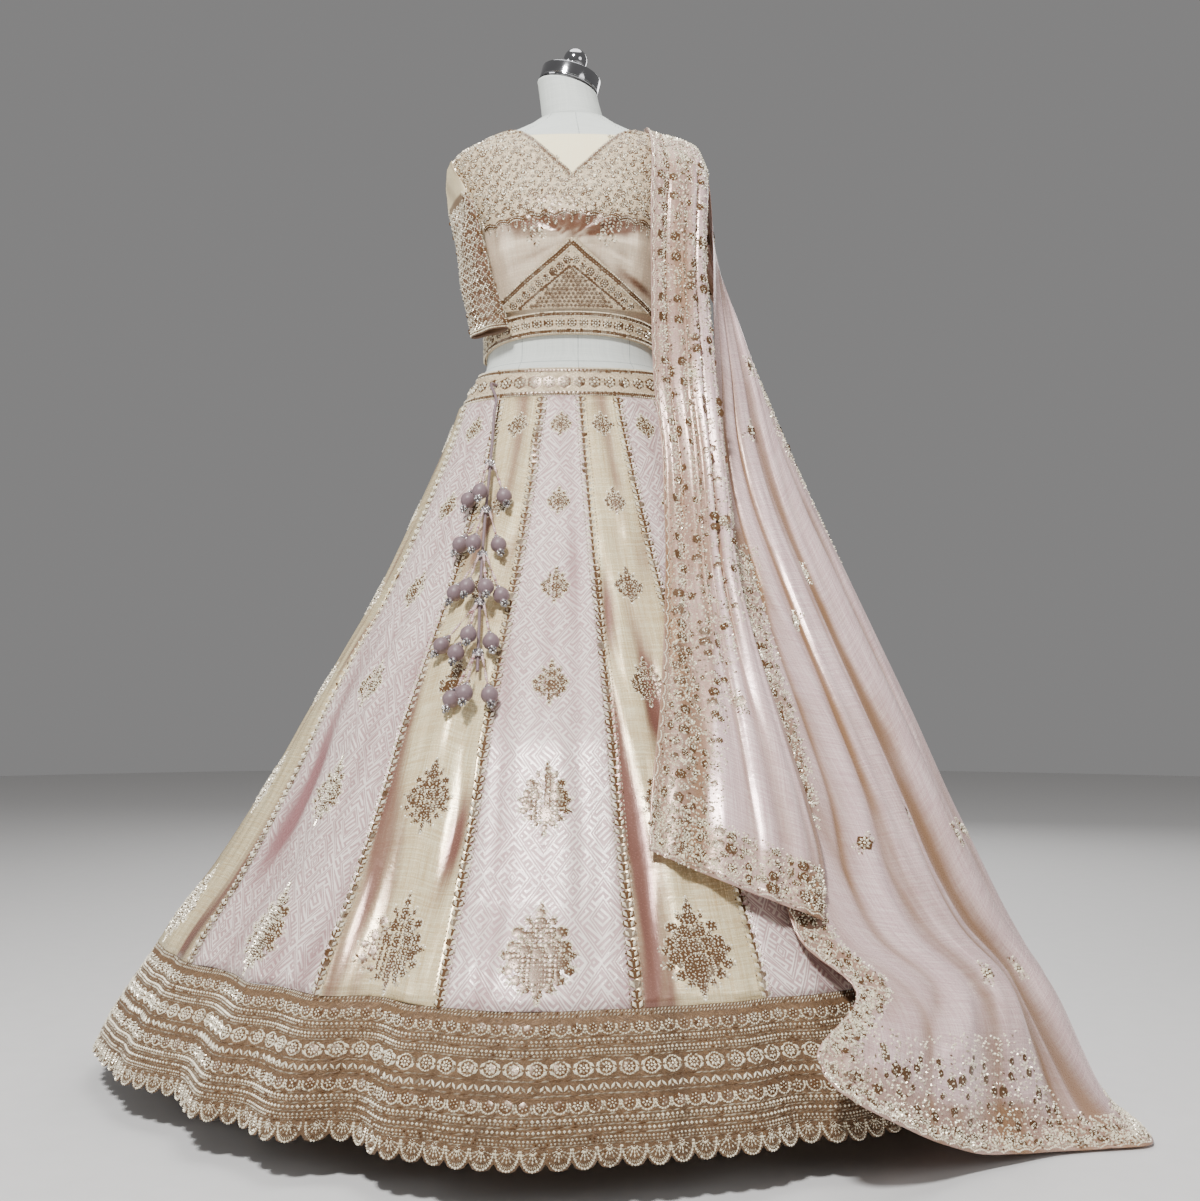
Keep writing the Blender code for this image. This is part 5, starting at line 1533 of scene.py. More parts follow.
    def work_yoke(self, beads: Beadwork) -> None:
        """Vines and flowers over the yoke, lines at its edges, and drops below it."""
        level, pitch, lift = 1.24, 0.0088, 0.0080
        face, _ = round_face(lambda p, h: FORM.point(p, h, self.out(p, h)), level)
        rows = Rows(FRONT_ROWS)
        random = np.random.default_rng(5)
        places = np.linspace(0.0, 90.0, 361)
        length = run_length(FORM.point(places, level, FORM.yoke_gap + CLOTH))
        kinds = ([], [], [])
        motifs = (flower(0.0042, 6, 1.0), curl(0.0044, 1.0, 1.0), sprig(0.0104, 3, 0.55))
        for row, z in enumerate(np.arange(self.yoke_low + 0.005, self.collar_z - 0.005, lift)):
            side = np.interp(rows(z, 1), places, length) - 0.004
            inner = np.interp(rows(z, 2), places, length) + 0.007
            for column, x in enumerate(np.arange(-0.20 + pitch / 2.0 * (row % 2), 0.20, pitch)):
                if abs(x) > side or (z > 1.25 and abs(x) < inner) or z < self.yoke_edge(x) + 0.003:
                    continue
                spot = (x + random.uniform(-0.0012, 0.0012), z + random.uniform(-0.0012, 0.0012))
                kinds[(column + row * 2) % 3].append((*spot, random.uniform(0.0, 6.28)))
        for spots, motif in zip(kinds, motifs):
            x, z, turn = np.array(spots).T
            beads.sew(face, x, z, motif, turn)
        self.work_neck_edges(beads, face, lambda z: np.interp(rows(z, 2), places, length))
        x = np.arange(-0.150, 0.1501, 0.0030)
        # A bed of painted shade under the lines at the yoke's edge
        beads.sew(face, x, self.yoke_edge(x) - 0.0010, shade_bed(0.0086, 0.0086))
        for drop, tone in ((0.0, 0.95), (0.0036, 0.7)):
            beads.sew(face, x, self.yoke_edge(x) - drop, stitches(0.0, 0.0, 0.0, 0.0027, 0.0024, tone))
        x = np.arange(-0.143, 0.144, 0.013)
        near = np.abs(np.abs(x) - self.drops_x)
        size = np.clip(1.7 - near / 0.04, 0.8, 1.7)
        beads.sew(face, x, self.yoke_edge(x) - 0.005, sprig(0.010, 3, 0.6), np.pi, size)
        x, z = np.array(self.drops).T
        beads.sew(face, x, z, sprig(0.009, 2, 0.8), np.pi)

    def work_neck_edges(self, beads: Beadwork, face: Surface, edge: Callable[[Array], Array]) -> None:
        """Two bead lines down each side of the neck, on a bed of painted shade.

        Args:
            beads: where the beads go.
            face: the choli's face.
            edge: finds the metres from the middle to the neck's edge at a height.
        """
        z = np.arange(1.2500, self.collar_z - 0.001, 0.0030)
        for side in (-1.0, 1.0):
            beads.sew(face, side * (edge(z) + 0.0036), z - 0.0014, shade_bed(0.0086, 0.0086))
            for gap, size, tone in ((0.0018, 0.0036, 0.95), (0.0058, 0.0032, 0.59)):
                beads.sew(face, side * (edge(z) + gap), z - gap * 0.4, gem(size, size, tone))

    def work_panel(self, beads: Beadwork) -> None:
        """Nested chevrons of bead lines, leaves and flowers."""
        out = CHOLI_GAP + CLOTH + PANEL_GAP + TRIM_CLOTH
        face, _ = round_face(lambda p, h: FORM.point(p, h, out), 1.08)
        rows = np.array(CHEVRON_ROWS[::-1])
        ends = FORM.point(rows[:, 1], rows[:, 0], 0.006)
        edge = np.column_stack([0.001 + run_length(ends[:, :2]), rows[:, 0]])
        keys = run_length(edge)
        share = np.linspace(0.0, 1.0, 200) * keys[-1]
        line = np.column_stack([np.interp(share, keys, edge[:, k]) for k in (0, 1)])
        run = unit(np.gradient(line, axis=0))
        inward = np.column_stack([run[:, 1], -run[:, 0]])
        dot, leaf, slant = 0.95, 0.34, 0.35
        for depth, pitch, lean, motif in (
            # Beds of painted shade under the chevron lines
            (0.0045, 0.0050, 0.0, shade_bed(0.0090, 0.0090)),
            (0.0275, 0.0050, 0.0, shade_bed(0.0070, 0.0070)),
            (0.0016, 0.0030, 0.0, gem(0.0032, 0.0032 * dot, 0.95)),
            (0.0052, 0.0050, slant, gem(0.0052, 0.0052 * leaf, 0.8)),
            (0.0088, 0.0030, 0.0, gem(0.0032, 0.0032 * dot, 0.85)),
            (0.0125, 0.0060, slant, gem(0.0062, 0.0062 * leaf, 0.35)),
            (0.0190, 0.0125, 0.0, flower(0.0056, 7, 0.7)),
            (0.0256, 0.0060, slant, gem(0.0062, 0.0062 * leaf, 0.35)),
            (0.0292, 0.0030, 0.0, gem(0.0030, 0.0030 * dot, 0.85)),
            (0.0330, 0.0045, slant, gem(0.0048, 0.0048 * leaf, 0.5)),
        ):
            spots = line + inward * depth
            spots = spots[(spots[:, 0] > 0.0008) & (spots[:, 1] > 1.0585)]
            total = run_length(spots)
            at = np.arange(pitch * 0.5, total[-1], pitch)
            x, z = np.interp(at, total, spots[:, 0]), np.interp(at, total, spots[:, 1])
            slope = np.arctan2(np.gradient(z), np.gradient(x))
            for side in (-1.0, 1.0):
                beads.sew(face, side * x, z, motif, side * (slope + lean))
        lift = 0.0052
        z, x = np.meshgrid(np.arange(1.0605, 1.110, lift), np.arange(-0.066, 0.067, 0.0065), indexing="ij")
        inside = z < np.interp(np.abs(x), line[:, 0], line[:, 1]) - 0.0375 - np.abs(x) * 0.05
        x, z = x[inside], z[inside]
        beads.sew(face, x + 0.0032 * (np.round(z / lift) % 2), z, flower(0.0032, 5, 0.65))

    def work_band(self, beads: Beadwork) -> None:
        """Bead lines and flowers round the hem band."""
        out = CHOLI_GAP + CLOTH + BAND_GAP + TRIM_CLOTH
        face, reach = round_face(lambda p, h: FORM.point(p, FORM.hem(p) + h, out), 0.0)
        decorate_band(beads, face, reach, self.band_height, 0.017)

    def sleeve_points(self, column: int, turn: Array, z: Array) -> Array:
        """Points on a sleeve, round it in radians and up it."""
        place = SLEEVES(z, column)
        surface = polar(place, FORM.radius(place, z), z)
        after, before = (polar(place + s, FORM.radius(place + s, z), z) for s in (1.0, -1.0))
        right = unit(after - before)
        outward = np.cross(right, np.array([0.0, 0.0, 1.0]))
        thick = SLEEVES(z, 4)
        dent = 0.0016 * np.sin(3.0 * turn + 55.0 * z) + 0.0010 * np.sin(5.0 * turn - 80.0 * z)
        dent = dent * np.clip(thick / 0.010, 0.0, 1.0) - 0.0004
        centre = surface + outward * (SLEEVES(z, 5) + thick)[..., None]
        across = right * (SLEEVES(z, 3) * np.sin(turn))[..., None]
        return centre + across + outward * ((thick + dent) * np.cos(turn))[..., None]

    def build_sleeve(self, name: str, column: int, beads: Beadwork) -> None:
        """A sleeve and its lattice of beads below a plain cap."""
        heights = np.linspace(SLEEVE_RINGS[0][0], SLEEVE_RINGS[-1][0], 60)
        z, turn = np.meshgrid(heights, np.arange(56) * 2.0 * np.pi / 56, indexing="ij")
        grid = self.sleeve_points(column, turn, z)
        # Painted shade along the sleeve's dents, and a darker ground below the plain cap where the lattice is
        shade_and_ground = np.clip(0.10 + 0.30 * np.sin(3.0 * turn + 55.0 * z + 2.4), 0.0, 1.0)
        shade_and_ground = np.where(z < self.cap_z - 0.006 + self.cap_dip * np.cos(turn), 0.85, shade_and_ground)
        piece = cloth(f"{name}_cloth", [grid], CLOTH * 0.8, closed=True, folds=[shade_and_ground])
        dress(piece, SPARSE.material(), [name])
        round(cloth_area(grid, closed=True), 3)
        face, reach = round_face(lambda a, v: self.sleeve_points(column, a, v), 1.14, np.pi)
        low = SLEEVE_RINGS[0][0]
        pitch, lift = 2.0 * reach / self.cells, self.cell_height
        run = np.linspace(-np.pi, np.pi, self.cells + 1)
        top = self.cap_z - self.cap_dip * np.cos(run)
        for row in range(16):
            z = low + 0.010 + lift * row
            x = (np.arange(self.cells) + 0.5 * (row % 2)) * pitch - reach
            x = x[z < np.interp(x, run / np.pi * reach, top)]
            if not len(x):
                continue
            beads.sew(face, x, z, flower(0.0048, 6, 0.7))
            for lean in (-1.0, 1.0):
                lattice = along([(0.0, 0.0), (lean * pitch * 0.5, lift)], 0.0032, 0.0038, 0.0022, 0.6)
                beads.sew(face, x, z, lattice[1:-1])
            beads.sew(face, x + pitch * 0.5, z, gem(0.0036, 0.0036, 0.95))
        for z in (low + 0.0025, low + 0.0060):
            beads.sew(face, np.arange(-reach, reach, 0.0027), z, gem(0.0030, 0.0030, 0.8))


def decorate_band(beads: Beadwork, face: Surface, reach: float, height: float, pitch: float) -> None:
    """Bead lines at both edges of a band, with flowers and leaves between them.

    Args:
        beads: where the beads go.
        face: the band, its numbers metres along it and up from its lower edge.
        reach: how far it runs to each side.
        height: its height.
        pitch: distance between the flowers.
    """
    run = np.arange(-reach, reach, 0.0032)
    for inset, size, tone in ((0.0018, 0.0034, 0.9), (0.0070, 0.0032, 0.8)):
        beads.sew(face, run, inset, gem(size, size, tone))
    for inset, size, tone in ((0.0070, 0.0032, 0.8), (0.0018, 0.0034, 0.9)):
        beads.sew(face, run, height - inset, gem(size, size, tone))
    cord = 0.0044
    # Beds of painted shade under the cords
    for v in (cord, height - cord):
        beads.sew(face, run[::2], v, shade_bed(0.0080, 0.0076))
    for v in (cord, height - cord):
        beads.sew(face, np.arange(-reach, reach, 0.0056), v, gem(0.0066, 0.0018, 0.3, 0.12))
    spots = np.linspace(-reach, reach, int(round(2.0 * reach / pitch)) + 1)[:-1]
    radius = min(height * 0.5 - 0.0092, 0.0088)
    beads.sew(face, spots, height * 0.5, flower(radius, 8, 0.75))
    long = pitch * 0.5 - radius
    parts = []
    for side in (-1.0, 1.0):
        lift = side * radius * 0.55
        parts.append(stitches(0.0, lift, side * 0.6, long * 1.6, long * 0.8, 0.6, Bead.LEAF))
    parts.append(gem(0.0032, 0.0032, 0.95))
    beads.sew(face, spots + pitch * 0.5, height * 0.5, np.concatenate(parts))


@dataclass
class Lehenga:
    """The skirt: waistband, panels, seam trims, sprigged motifs and hem border."""

    band_gap: float = 0.0010
    band_low: float = 0.9308
    band_top: float = 0.974
    band_rise: float = 0.0075
    shell: float = SKIRT_CLOTH * 0.6
    gap_radius: float = 0.4
    # Pitch of the seams' leaf pairs
    leaf_pitch: float = 0.0094
    # Motifs down each panel: height, width, height of the motif
    motifs: tuple = ((0.886, 0.032, 0.038), (0.768, 0.033, 0.042), (0.648, 0.040, 0.053),
                     (0.522, 0.048, 0.064), (0.388, 0.060, 0.088), (0.232, 0.080, 0.114))
    face: Surface = Surface(SKIRT.point, 0.05)

    def build(self) -> None:
        """Makes and dresses all its pieces."""
        self.build_waistband()
        self.build_panels()
        self.build_border()
        self.work_seams()
        self.work_panels()
        self.work_border()

    def band_point(self, a: Array, v: Array) -> Array:
        """Points on the waistband, by place and share of its height."""
        top = self.band_top + self.band_rise * (1.0 - np.cos(np.radians(a)))
        return FORM.point(a, lerp(self.band_low, top, v), self.band_gap + BAND_CLOTH)

    def build_waistband(self) -> None:
        """The waistband with its beads."""
        share, place = np.meshgrid(np.linspace(0.0, 1.0, 9), np.arange(160) * 360.0 / 160, indexing="ij")
        piece = cloth("waistband_cloth", [self.band_point(place, share)], BAND_CLOTH, closed=True)
        dress(piece, YOKE.material(), ["lehenga_waistband"])
        height = self.band_top - self.band_low
        face, reach = round_face(lambda a, v: self.band_point(a, v / height), 0.0)
        beads = Beadwork(21)
        decorate_band(beads, face, reach, height, 0.023)
        beads.piece("waistband_beadwork", GOLD_BEADS.material(), "embroidered_satin")

    def build_panels(self) -> None:
        """The tapered panels, brocade and tissue in turn."""
        seams = SKIRT.seams()
        looks = (("brocade", BROCADE.material()), ("tissue", TISSUE.material()))
        heights = np.linspace(BORDER_TOP_Z + SEAM, SKIRT_TOP_Z, 72)
        gap = np.degrees(SEAM / 2.0 / self.gap_radius)
        for number in range(PANEL_COUNT):
            left, right = (SKIRT.seam_place(seams[number + k], heights)[:, None] for k in (0, 1))
            place = lerp(left + gap, right - gap, np.linspace(0.0, 1.0, 17)[None])
            z = np.broadcast_to(heights[:, None], place.shape)
            grid = SKIRT.point(place, z)
            # Painted shade in the cloth's inward dents
            shade_and_ground = np.clip(0.04 - SKIRT.dents(place, z) / 0.0065, 0.0, 1.0)
            slot, finish = looks[number % 2]
            node = f"lehenga_panel_{number + 1:02d}"
            piece = cloth(f"{node}_cloth", [grid], self.shell, folds=[shade_and_ground])
            dress(piece, finish, [node])
            flat = (round(max(float(run_length(grid[row])[-1]) for row in (0, -1)), 3), 0.83)
            area = round(cloth_area(grid), 4)

    def border_z(self, place: Array, share: Array) -> Array:
        """Height on the border at a share of the way up from its scalloped edge."""
        t = (place / (360.0 / SCALLOP_COUNT) + 0.5) % 1.0 * 2.0 - 1.0
        low = HEM_Z + SCALLOP_DEPTH * (1.0 - np.sqrt(np.maximum(0.0, 1.0 - t * t)))
        return lerp(low, BORDER_TOP_Z, share)

    def build_border(self) -> None:
        """The border cloth with its scalloped edge."""
        rows = np.concatenate([np.linspace(0.0, 0.2, 3), np.linspace(0.35, 1.0, 6)])
        columns = SCALLOP_COUNT * 6
        share, place = np.meshgrid(rows, np.arange(columns) * 360.0 / columns, indexing="ij")
        z = self.border_z(place, share)
        grid = SKIRT.point(place, z)
        # Painted shade in the cloth's inward dents
        shade_and_ground = np.clip(0.05 - SKIRT.dents(place, z) / 0.0090, 0.0, 0.6)
        piece = cloth("hem_border_cloth", [grid], self.shell, closed=True, folds=[shade_and_ground])
        dress(piece, BORDER_GROUND_AND_SHADE.material(), ["lehenga_hem_border"])
        round(cloth_area(grid, closed=True), 3)

    def work_seams(self) -> None:
        """The double row of leaf beads over each seam, on a bed of painted shade."""
        heights = np.arange(BORDER_TOP_Z + 0.004, SKIRT_TOP_Z, self.leaf_pitch)
        fine = np.arange(BORDER_TOP_Z + 0.004, SKIRT_TOP_Z, self.leaf_pitch / 2.0)
        upright = math.pi / 2.0
        middle, edges = [shade_bed(0.0115, 0.0150, upright)], []
        for side in (-1.0, 1.0):
            slant = upright - side * 0.50
            middle.append(stitches(side * 0.0036, 0.0, slant, 0.0100, 0.0056, 0.85, Bead.LEAF))
            edges.append(stitches(side * 0.0076, 0.0, upright, 0.0040, 0.0024, 0.35, Bead.LEAF))
        middle.append(stitches(0.0, 0.0040, 0.0, 0.0028, 0.0028, 0.5, Bead.LEAF))
        beads = Beadwork(31)
        for seam in SKIRT.seams()[:-1]:
            lean = math.atan2(math.radians(seam[1] - seam[0]) * 0.35, 0.85)
            beads.sew(self.face, SKIRT.seam_place(seam, heights), heights, np.concatenate(middle), -lean)
            beads.sew(self.face, SKIRT.seam_place(seam, fine), fine, np.concatenate(edges), -lean)
        beads.piece("seam_trims", GOLD_BEADS.material(), "embroidered_satin")

    def work_panels(self) -> None:
        """The motifs down the middle of each panel."""
        seams = SKIRT.seams()
        beads = Beadwork(41)
        for z, width, height in self.motifs:
            at = [SKIRT.seam_place(seam, np.array([z]))[0] for seam in seams]
            places = [lerp(left, right, 0.5) for left, right in zip(at, at[1:])]
            beads.sew(self.face, places, z, buta(width, height))
        beads.piece("panel_motifs", GOLD_BEADS.material(), "embroidered_satin")

    def work_border(self) -> None:
        """The rows of the border, from its cord down to its shell scallops."""
        slope = 0.888
        face = Surface(lambda a, v: SKIRT.point(a, BORDER_TOP_Z + v * slope), 0.05)

        def row(beads: Beadwork, down: float, motif: Array, count: int = SCALLOP_COUNT,
                shift: float = 0.0) -> None:
            """A motif at each pitch all round."""
            beads.sew(face, (np.arange(count) + shift) * 360.0 / count, -down, motif)

        def dots(beads: Beadwork, lines: Sequence[Sequence[float]]) -> None:
            """Lines of facet beads all round: metres down, size and tone of each."""
            for down, size, tone in lines:
                row(beads, down, gem(size, size * 0.95, tone), int(4.02 / size * 0.78))

        def cords(beads: Beadwork, downs: Sequence[float]) -> None:
            """Dull cords all round."""
            for down in downs:
                row(beads, down, gem(0.0092, 0.0020, 0.22, 0.10), 520)

        def medallions(beads: Beadwork, down: float) -> None:
            """Clusters and flowers by turns, each in a hanging scallop."""
            ring = hoop(0.0078, -190.0, 10.0, 1.0)
            for number, heart in enumerate((cluster(0.0046, 1.0), flower(0.0056, 7, 0.7))):
                row(beads, down, np.concatenate([ring, heart]), 110, number * 0.5)
            row(beads, down + 0.0052, gem(0.0034, 0.0034, 0.6), 220, 0.5)

        signs = (-1.0, 1.0)
        upper, lower = Beadwork(51), Beadwork(52)
        for down in (0.0016, 0.0052):
            row(upper, down, gem(0.0046, 0.0018, 0.65, 0.9), 900)
        medallions(upper, 0.0170)
        cords(upper, (0.0262, 0.0365, 0.0462, 0.0672))
        dots(upper, ((0.0298, 0.0042, 1.0), (0.0332, 0.0030, 0.45), (0.0400, 0.0040, 1.0),
                     (0.0434, 0.0032, 0.6)))
        leaves = [stitches(0.0036 * a, 0.0036 * b, math.atan2(b, a), 0.0082, 0.0040, 1.0, Bead.LEAF)
                  for a in signs for b in signs]
        row(upper, 0.0566, np.concatenate([hoop(0.0080, tone=0.9), flower(0.0062, 8, 0.95)]))
        row(upper, 0.0566, np.concatenate(leaves), shift=0.5)
        zigzag = [stitches(s * 0.0031, 0.0, s * 0.95, 0.0094, 0.0034, 0.95, Bead.LEAF) for s in signs]
        row(lower, 0.0745, np.concatenate(zigzag), 320, 0.25)
        row(lower, 0.0775, gem(0.0032, 0.0032, 0.6), 320, 0.75)
        medallions(lower, 0.0908)
        cords(lower, (0.0815, 0.1010, 0.1110, 0.1192, 0.1290))
        dots(lower, ((0.1045, 0.0042, 1.0), (0.1078, 0.0030, 0.45), (0.1152, 0.0040, 1.0),
                     (0.1230, 0.0034, 0.7), (0.1264, 0.0030, 0.45)))
        row(lower, 0.1325, self.shell_motif())
        upper.piece("border_upper_beadwork", GOLD_BEADS.material(), "embroidered_satin")
        lower.piece("border_lower_beadwork", GOLD_BEADS.material(), "embroidered_satin")

    def shell_motif(self) -> Array:
        """Rays, ribs and a rim that fill one scallop, about a flower."""
        inner, outer, radius = 0.0030, 0.0096, 0.0118
        parts = []
        for share in np.linspace(-1.0, 1.0, 7):
            slant = share * 1.25
            ray = [(r * math.sin(slant), -r * math.cos(slant)) for r in (inner, outer)]
            parts.append(along(ray, 0.0036, 0.0040, 0.0021, 0.85 - 0.35 * abs(share)))
        ribs = arc(radius, -172.0, -8.0, 18, 1.25)
        parts.append(along(ribs, 0.0020, 0.0042, 0.0013, 0.5, math.pi / 2.0))
        parts.append(along(arc(radius, -180.0, 0.0, 18, 1.52), 0.0030, 0.0036, 0.0030, 0.9))
        return np.concatenate([*parts, flower(0.0034, 6, 0.9)])


def tie_point(z: float, x: float, reach: float) -> Vector:
    """A point in front of the skirt at a height, a side place and a distance out."""
    place = 0.0
    for _ in range(30):
        radius = float(SKIRT.radius(place, z)) + reach
        place = math.degrees(math.asin(max(-1.0, min(1.0, x / radius))))
    return Vector(polar(place, float(SKIRT.radius(place, z)) + reach, z).tolist())


@dataclass
class WaistTie:
    """The drawstring's end with its tiers of covered balls and beads."""

    radius: float = 0.0021
    exit_place: float = -41.0
    exit_z: float = 0.952
    exit_reach: float = 0.011
    ball: float = 0.0108
    strand_start: float = 0.0052
    # Rings of metal beads under a ball: count, radius, distance below it
    tip_rings: tuple = ((6, 0.0042, 0.0022), (5, 0.0036, 0.0052), (1, 0.0, 0.0084))

    def route(self) -> list[Vector]:
        """Points down the cord, on a smooth curve."""
        face = 0.0010 + BAND_CLOTH + 2.0 * SEAM
        stops = [FORM.point(self.exit_place, self.exit_z, face),
                 FORM.point(self.exit_place, self.exit_z - 0.001, face + self.exit_reach)]
        stops += [np.array(tie_point(z, x, TIE_REACH)) for z, x in CORD_POINTS]
        return [Vector(p) for p in smoothed(np.array(stops), 3).tolist()]

    def build(self) -> None:
        """Makes and dresses all its pieces."""
        cloth_finish, silver, pink = TIE_CLOTH.material(), SILVER_BEADS.material(), PINK_BEADS.material()
        route = self.route()
        curve = bpy.data.curves.new("drawstring", "CURVE")
        curve.dimensions, curve.use_fill_caps = "3D", True
        curve.bevel_depth, curve.bevel_resolution = self.radius, 4
        spline = curve.splines.new("POLY")
        spline.points.add(len(route) - 1)
        for point, place in zip(spline.points, route):
            point.co = (*place, 1.0)
        string = bpy.data.objects.new("drawstring", curve)
        bpy.context.scene.collection.objects.link(string)
        dress(string, cloth_finish, ["tie_cord"])
        metal, seeds = Beadwork(61), Beadwork(62)
        stops = sorted(CORD_POINTS)
        heights, sides = [z for z, _ in stops], [x for _, x in stops]
        for number, (hub_z, balls) in enumerate(TIERS, 1):
            hub_x = float(np.interp(hub_z, heights, sides))
            hub = tie_point(hub_z, hub_x, TIE_REACH)
            below = tie_point(hub_z - 0.02, float(np.interp(hub_z - 0.02, heights, sides)), TIE_REACH)
            axis = (hub - below).normalized()
            parts = [self.hub(hub, axis)]
            for shift, drop, reach in balls:
                goal = tie_point(hub_z - drop, hub_x + shift, TIE_REACH + reach)
                aside = goal - hub
                aside = (aside - axis * aside.dot(axis)).normalized()
                start = hub + aside * self.strand_start
                down = (goal - start).normalized()
                parts.append(self.drop(goal, down))
                seeds.string(start, goal - down * (self.ball + 0.004), 0.0031, 0.0034, 0.6, 0.35)
                for ring, (count, radius, fall) in enumerate(self.tip_rings):
                    self.cluster(metal, goal + down * (self.ball + fall), down, radius, count, ring)
                self.cluster(metal, goal - down * (self.ball - 0.0006), down, 0.0050, 8, 0)
            tier = self.join(f"tie_tier_{number}_balls", parts)
            dress(tier, cloth_finish, [f"tie_tier_{number}"])
            for ring in range(4):
                radius = 0.0066 - 0.0008 * abs(ring - 1.5)
                self.cluster(metal, hub + axis * (0.0045 - 0.003 * ring), axis, radius, 10, ring)
        metal.piece("tie_metal_beads", silver, "tie_cloth")
        seeds.piece("tie_seed_beads", pink, "tie_cloth")

    def cluster(self, beads: Beadwork, centre: Vector, axis: Vector, radius: float, count: int,
                ring: int) -> None:
        """A ring of round metal beads about an axis, or one larger bead on it."""
        side = axis.cross(Vector((0.3, 1.0, 0.1))).normalized()
        other = axis.cross(side)
        number = np.arange(count)
        turn = 2.0 * np.pi * (number + 0.5 * (ring % 2)) / count
        place = np.array(centre) + (np.outer(np.cos(turn), side) + np.outer(np.sin(turn), other)) * radius
        size = np.full((count, 3), 0.0036 if radius > 0.0 else 0.0052)
        beads.lay(place, np.tile(side, (count, 1)), np.tile(other, (count, 1)), size,
                  0.25 + 0.5 * (number % 2), np.full(count, Bead.BALL.value))

    def hub(self, centre: Vector, axis: Vector) -> Piece:
        """The wrapped ring that a tier's strands hang from."""
        bore = self.radius + 0.0006
        profile = [(bore, 0.0055), (0.0058, 0.0042), (0.0064, 0.0), (0.0058, -0.0042), (bore, -0.0055)]
        return turned("hub", profile, 20, centre, axis.to_track_quat("Z", "Y").to_euler())

    def drop(self, centre: Vector, down: Vector) -> Piece:
        """A cloth-covered ball on its stem, gathered at both poles."""
        ball = self.ball
        profile = [(0.0, ball + 0.006), (0.0026, ball + 0.0055), (0.0044, ball + 0.0018)]
        turns = np.radians(np.linspace(24.0, 156.0, 14))
        profile += [(ball * math.sin(t), ball * math.cos(t)) for t in turns]
        profile += [(0.0040, -ball - 0.0014), (0.0, -ball - 0.0018)]
        item = turned("drop", profile, 24, Vector(), Euler())
        for vertex in item.data.vertices:
            turn = math.atan2(vertex.co.y, vertex.co.x)
            if abs(vertex.co.z) < ball * 0.96:
                vertex.co.xy *= 1.0 - 0.022 * (0.5 + 0.5 * math.cos(12.0 * turn))
        place = (-down).to_track_quat("Z", "Y").to_matrix().to_4x4()
        place.translation = centre
        item.data.transform(place)
        return item

    def join(self, name: str, parts: list[Piece]) -> Piece:
        """One mesh of several objects, which are removed."""
        points, faces = [], []
        for part in parts:
            start = len(points)
            points += [tuple(v.co) for v in part.data.vertices]
            faces += [tuple(start + i for i in p.vertices) for p in part.data.polygons]
            bpy.data.objects.remove(part, do_unlink=True)
        mesh = bpy.data.meshes.new(name)
        mesh.from_pydata(points, [], faces)
        mesh.shade_smooth()
        mesh.set_sharp_from_angle(angle=math.radians(50.0))
        return link(name, mesh)


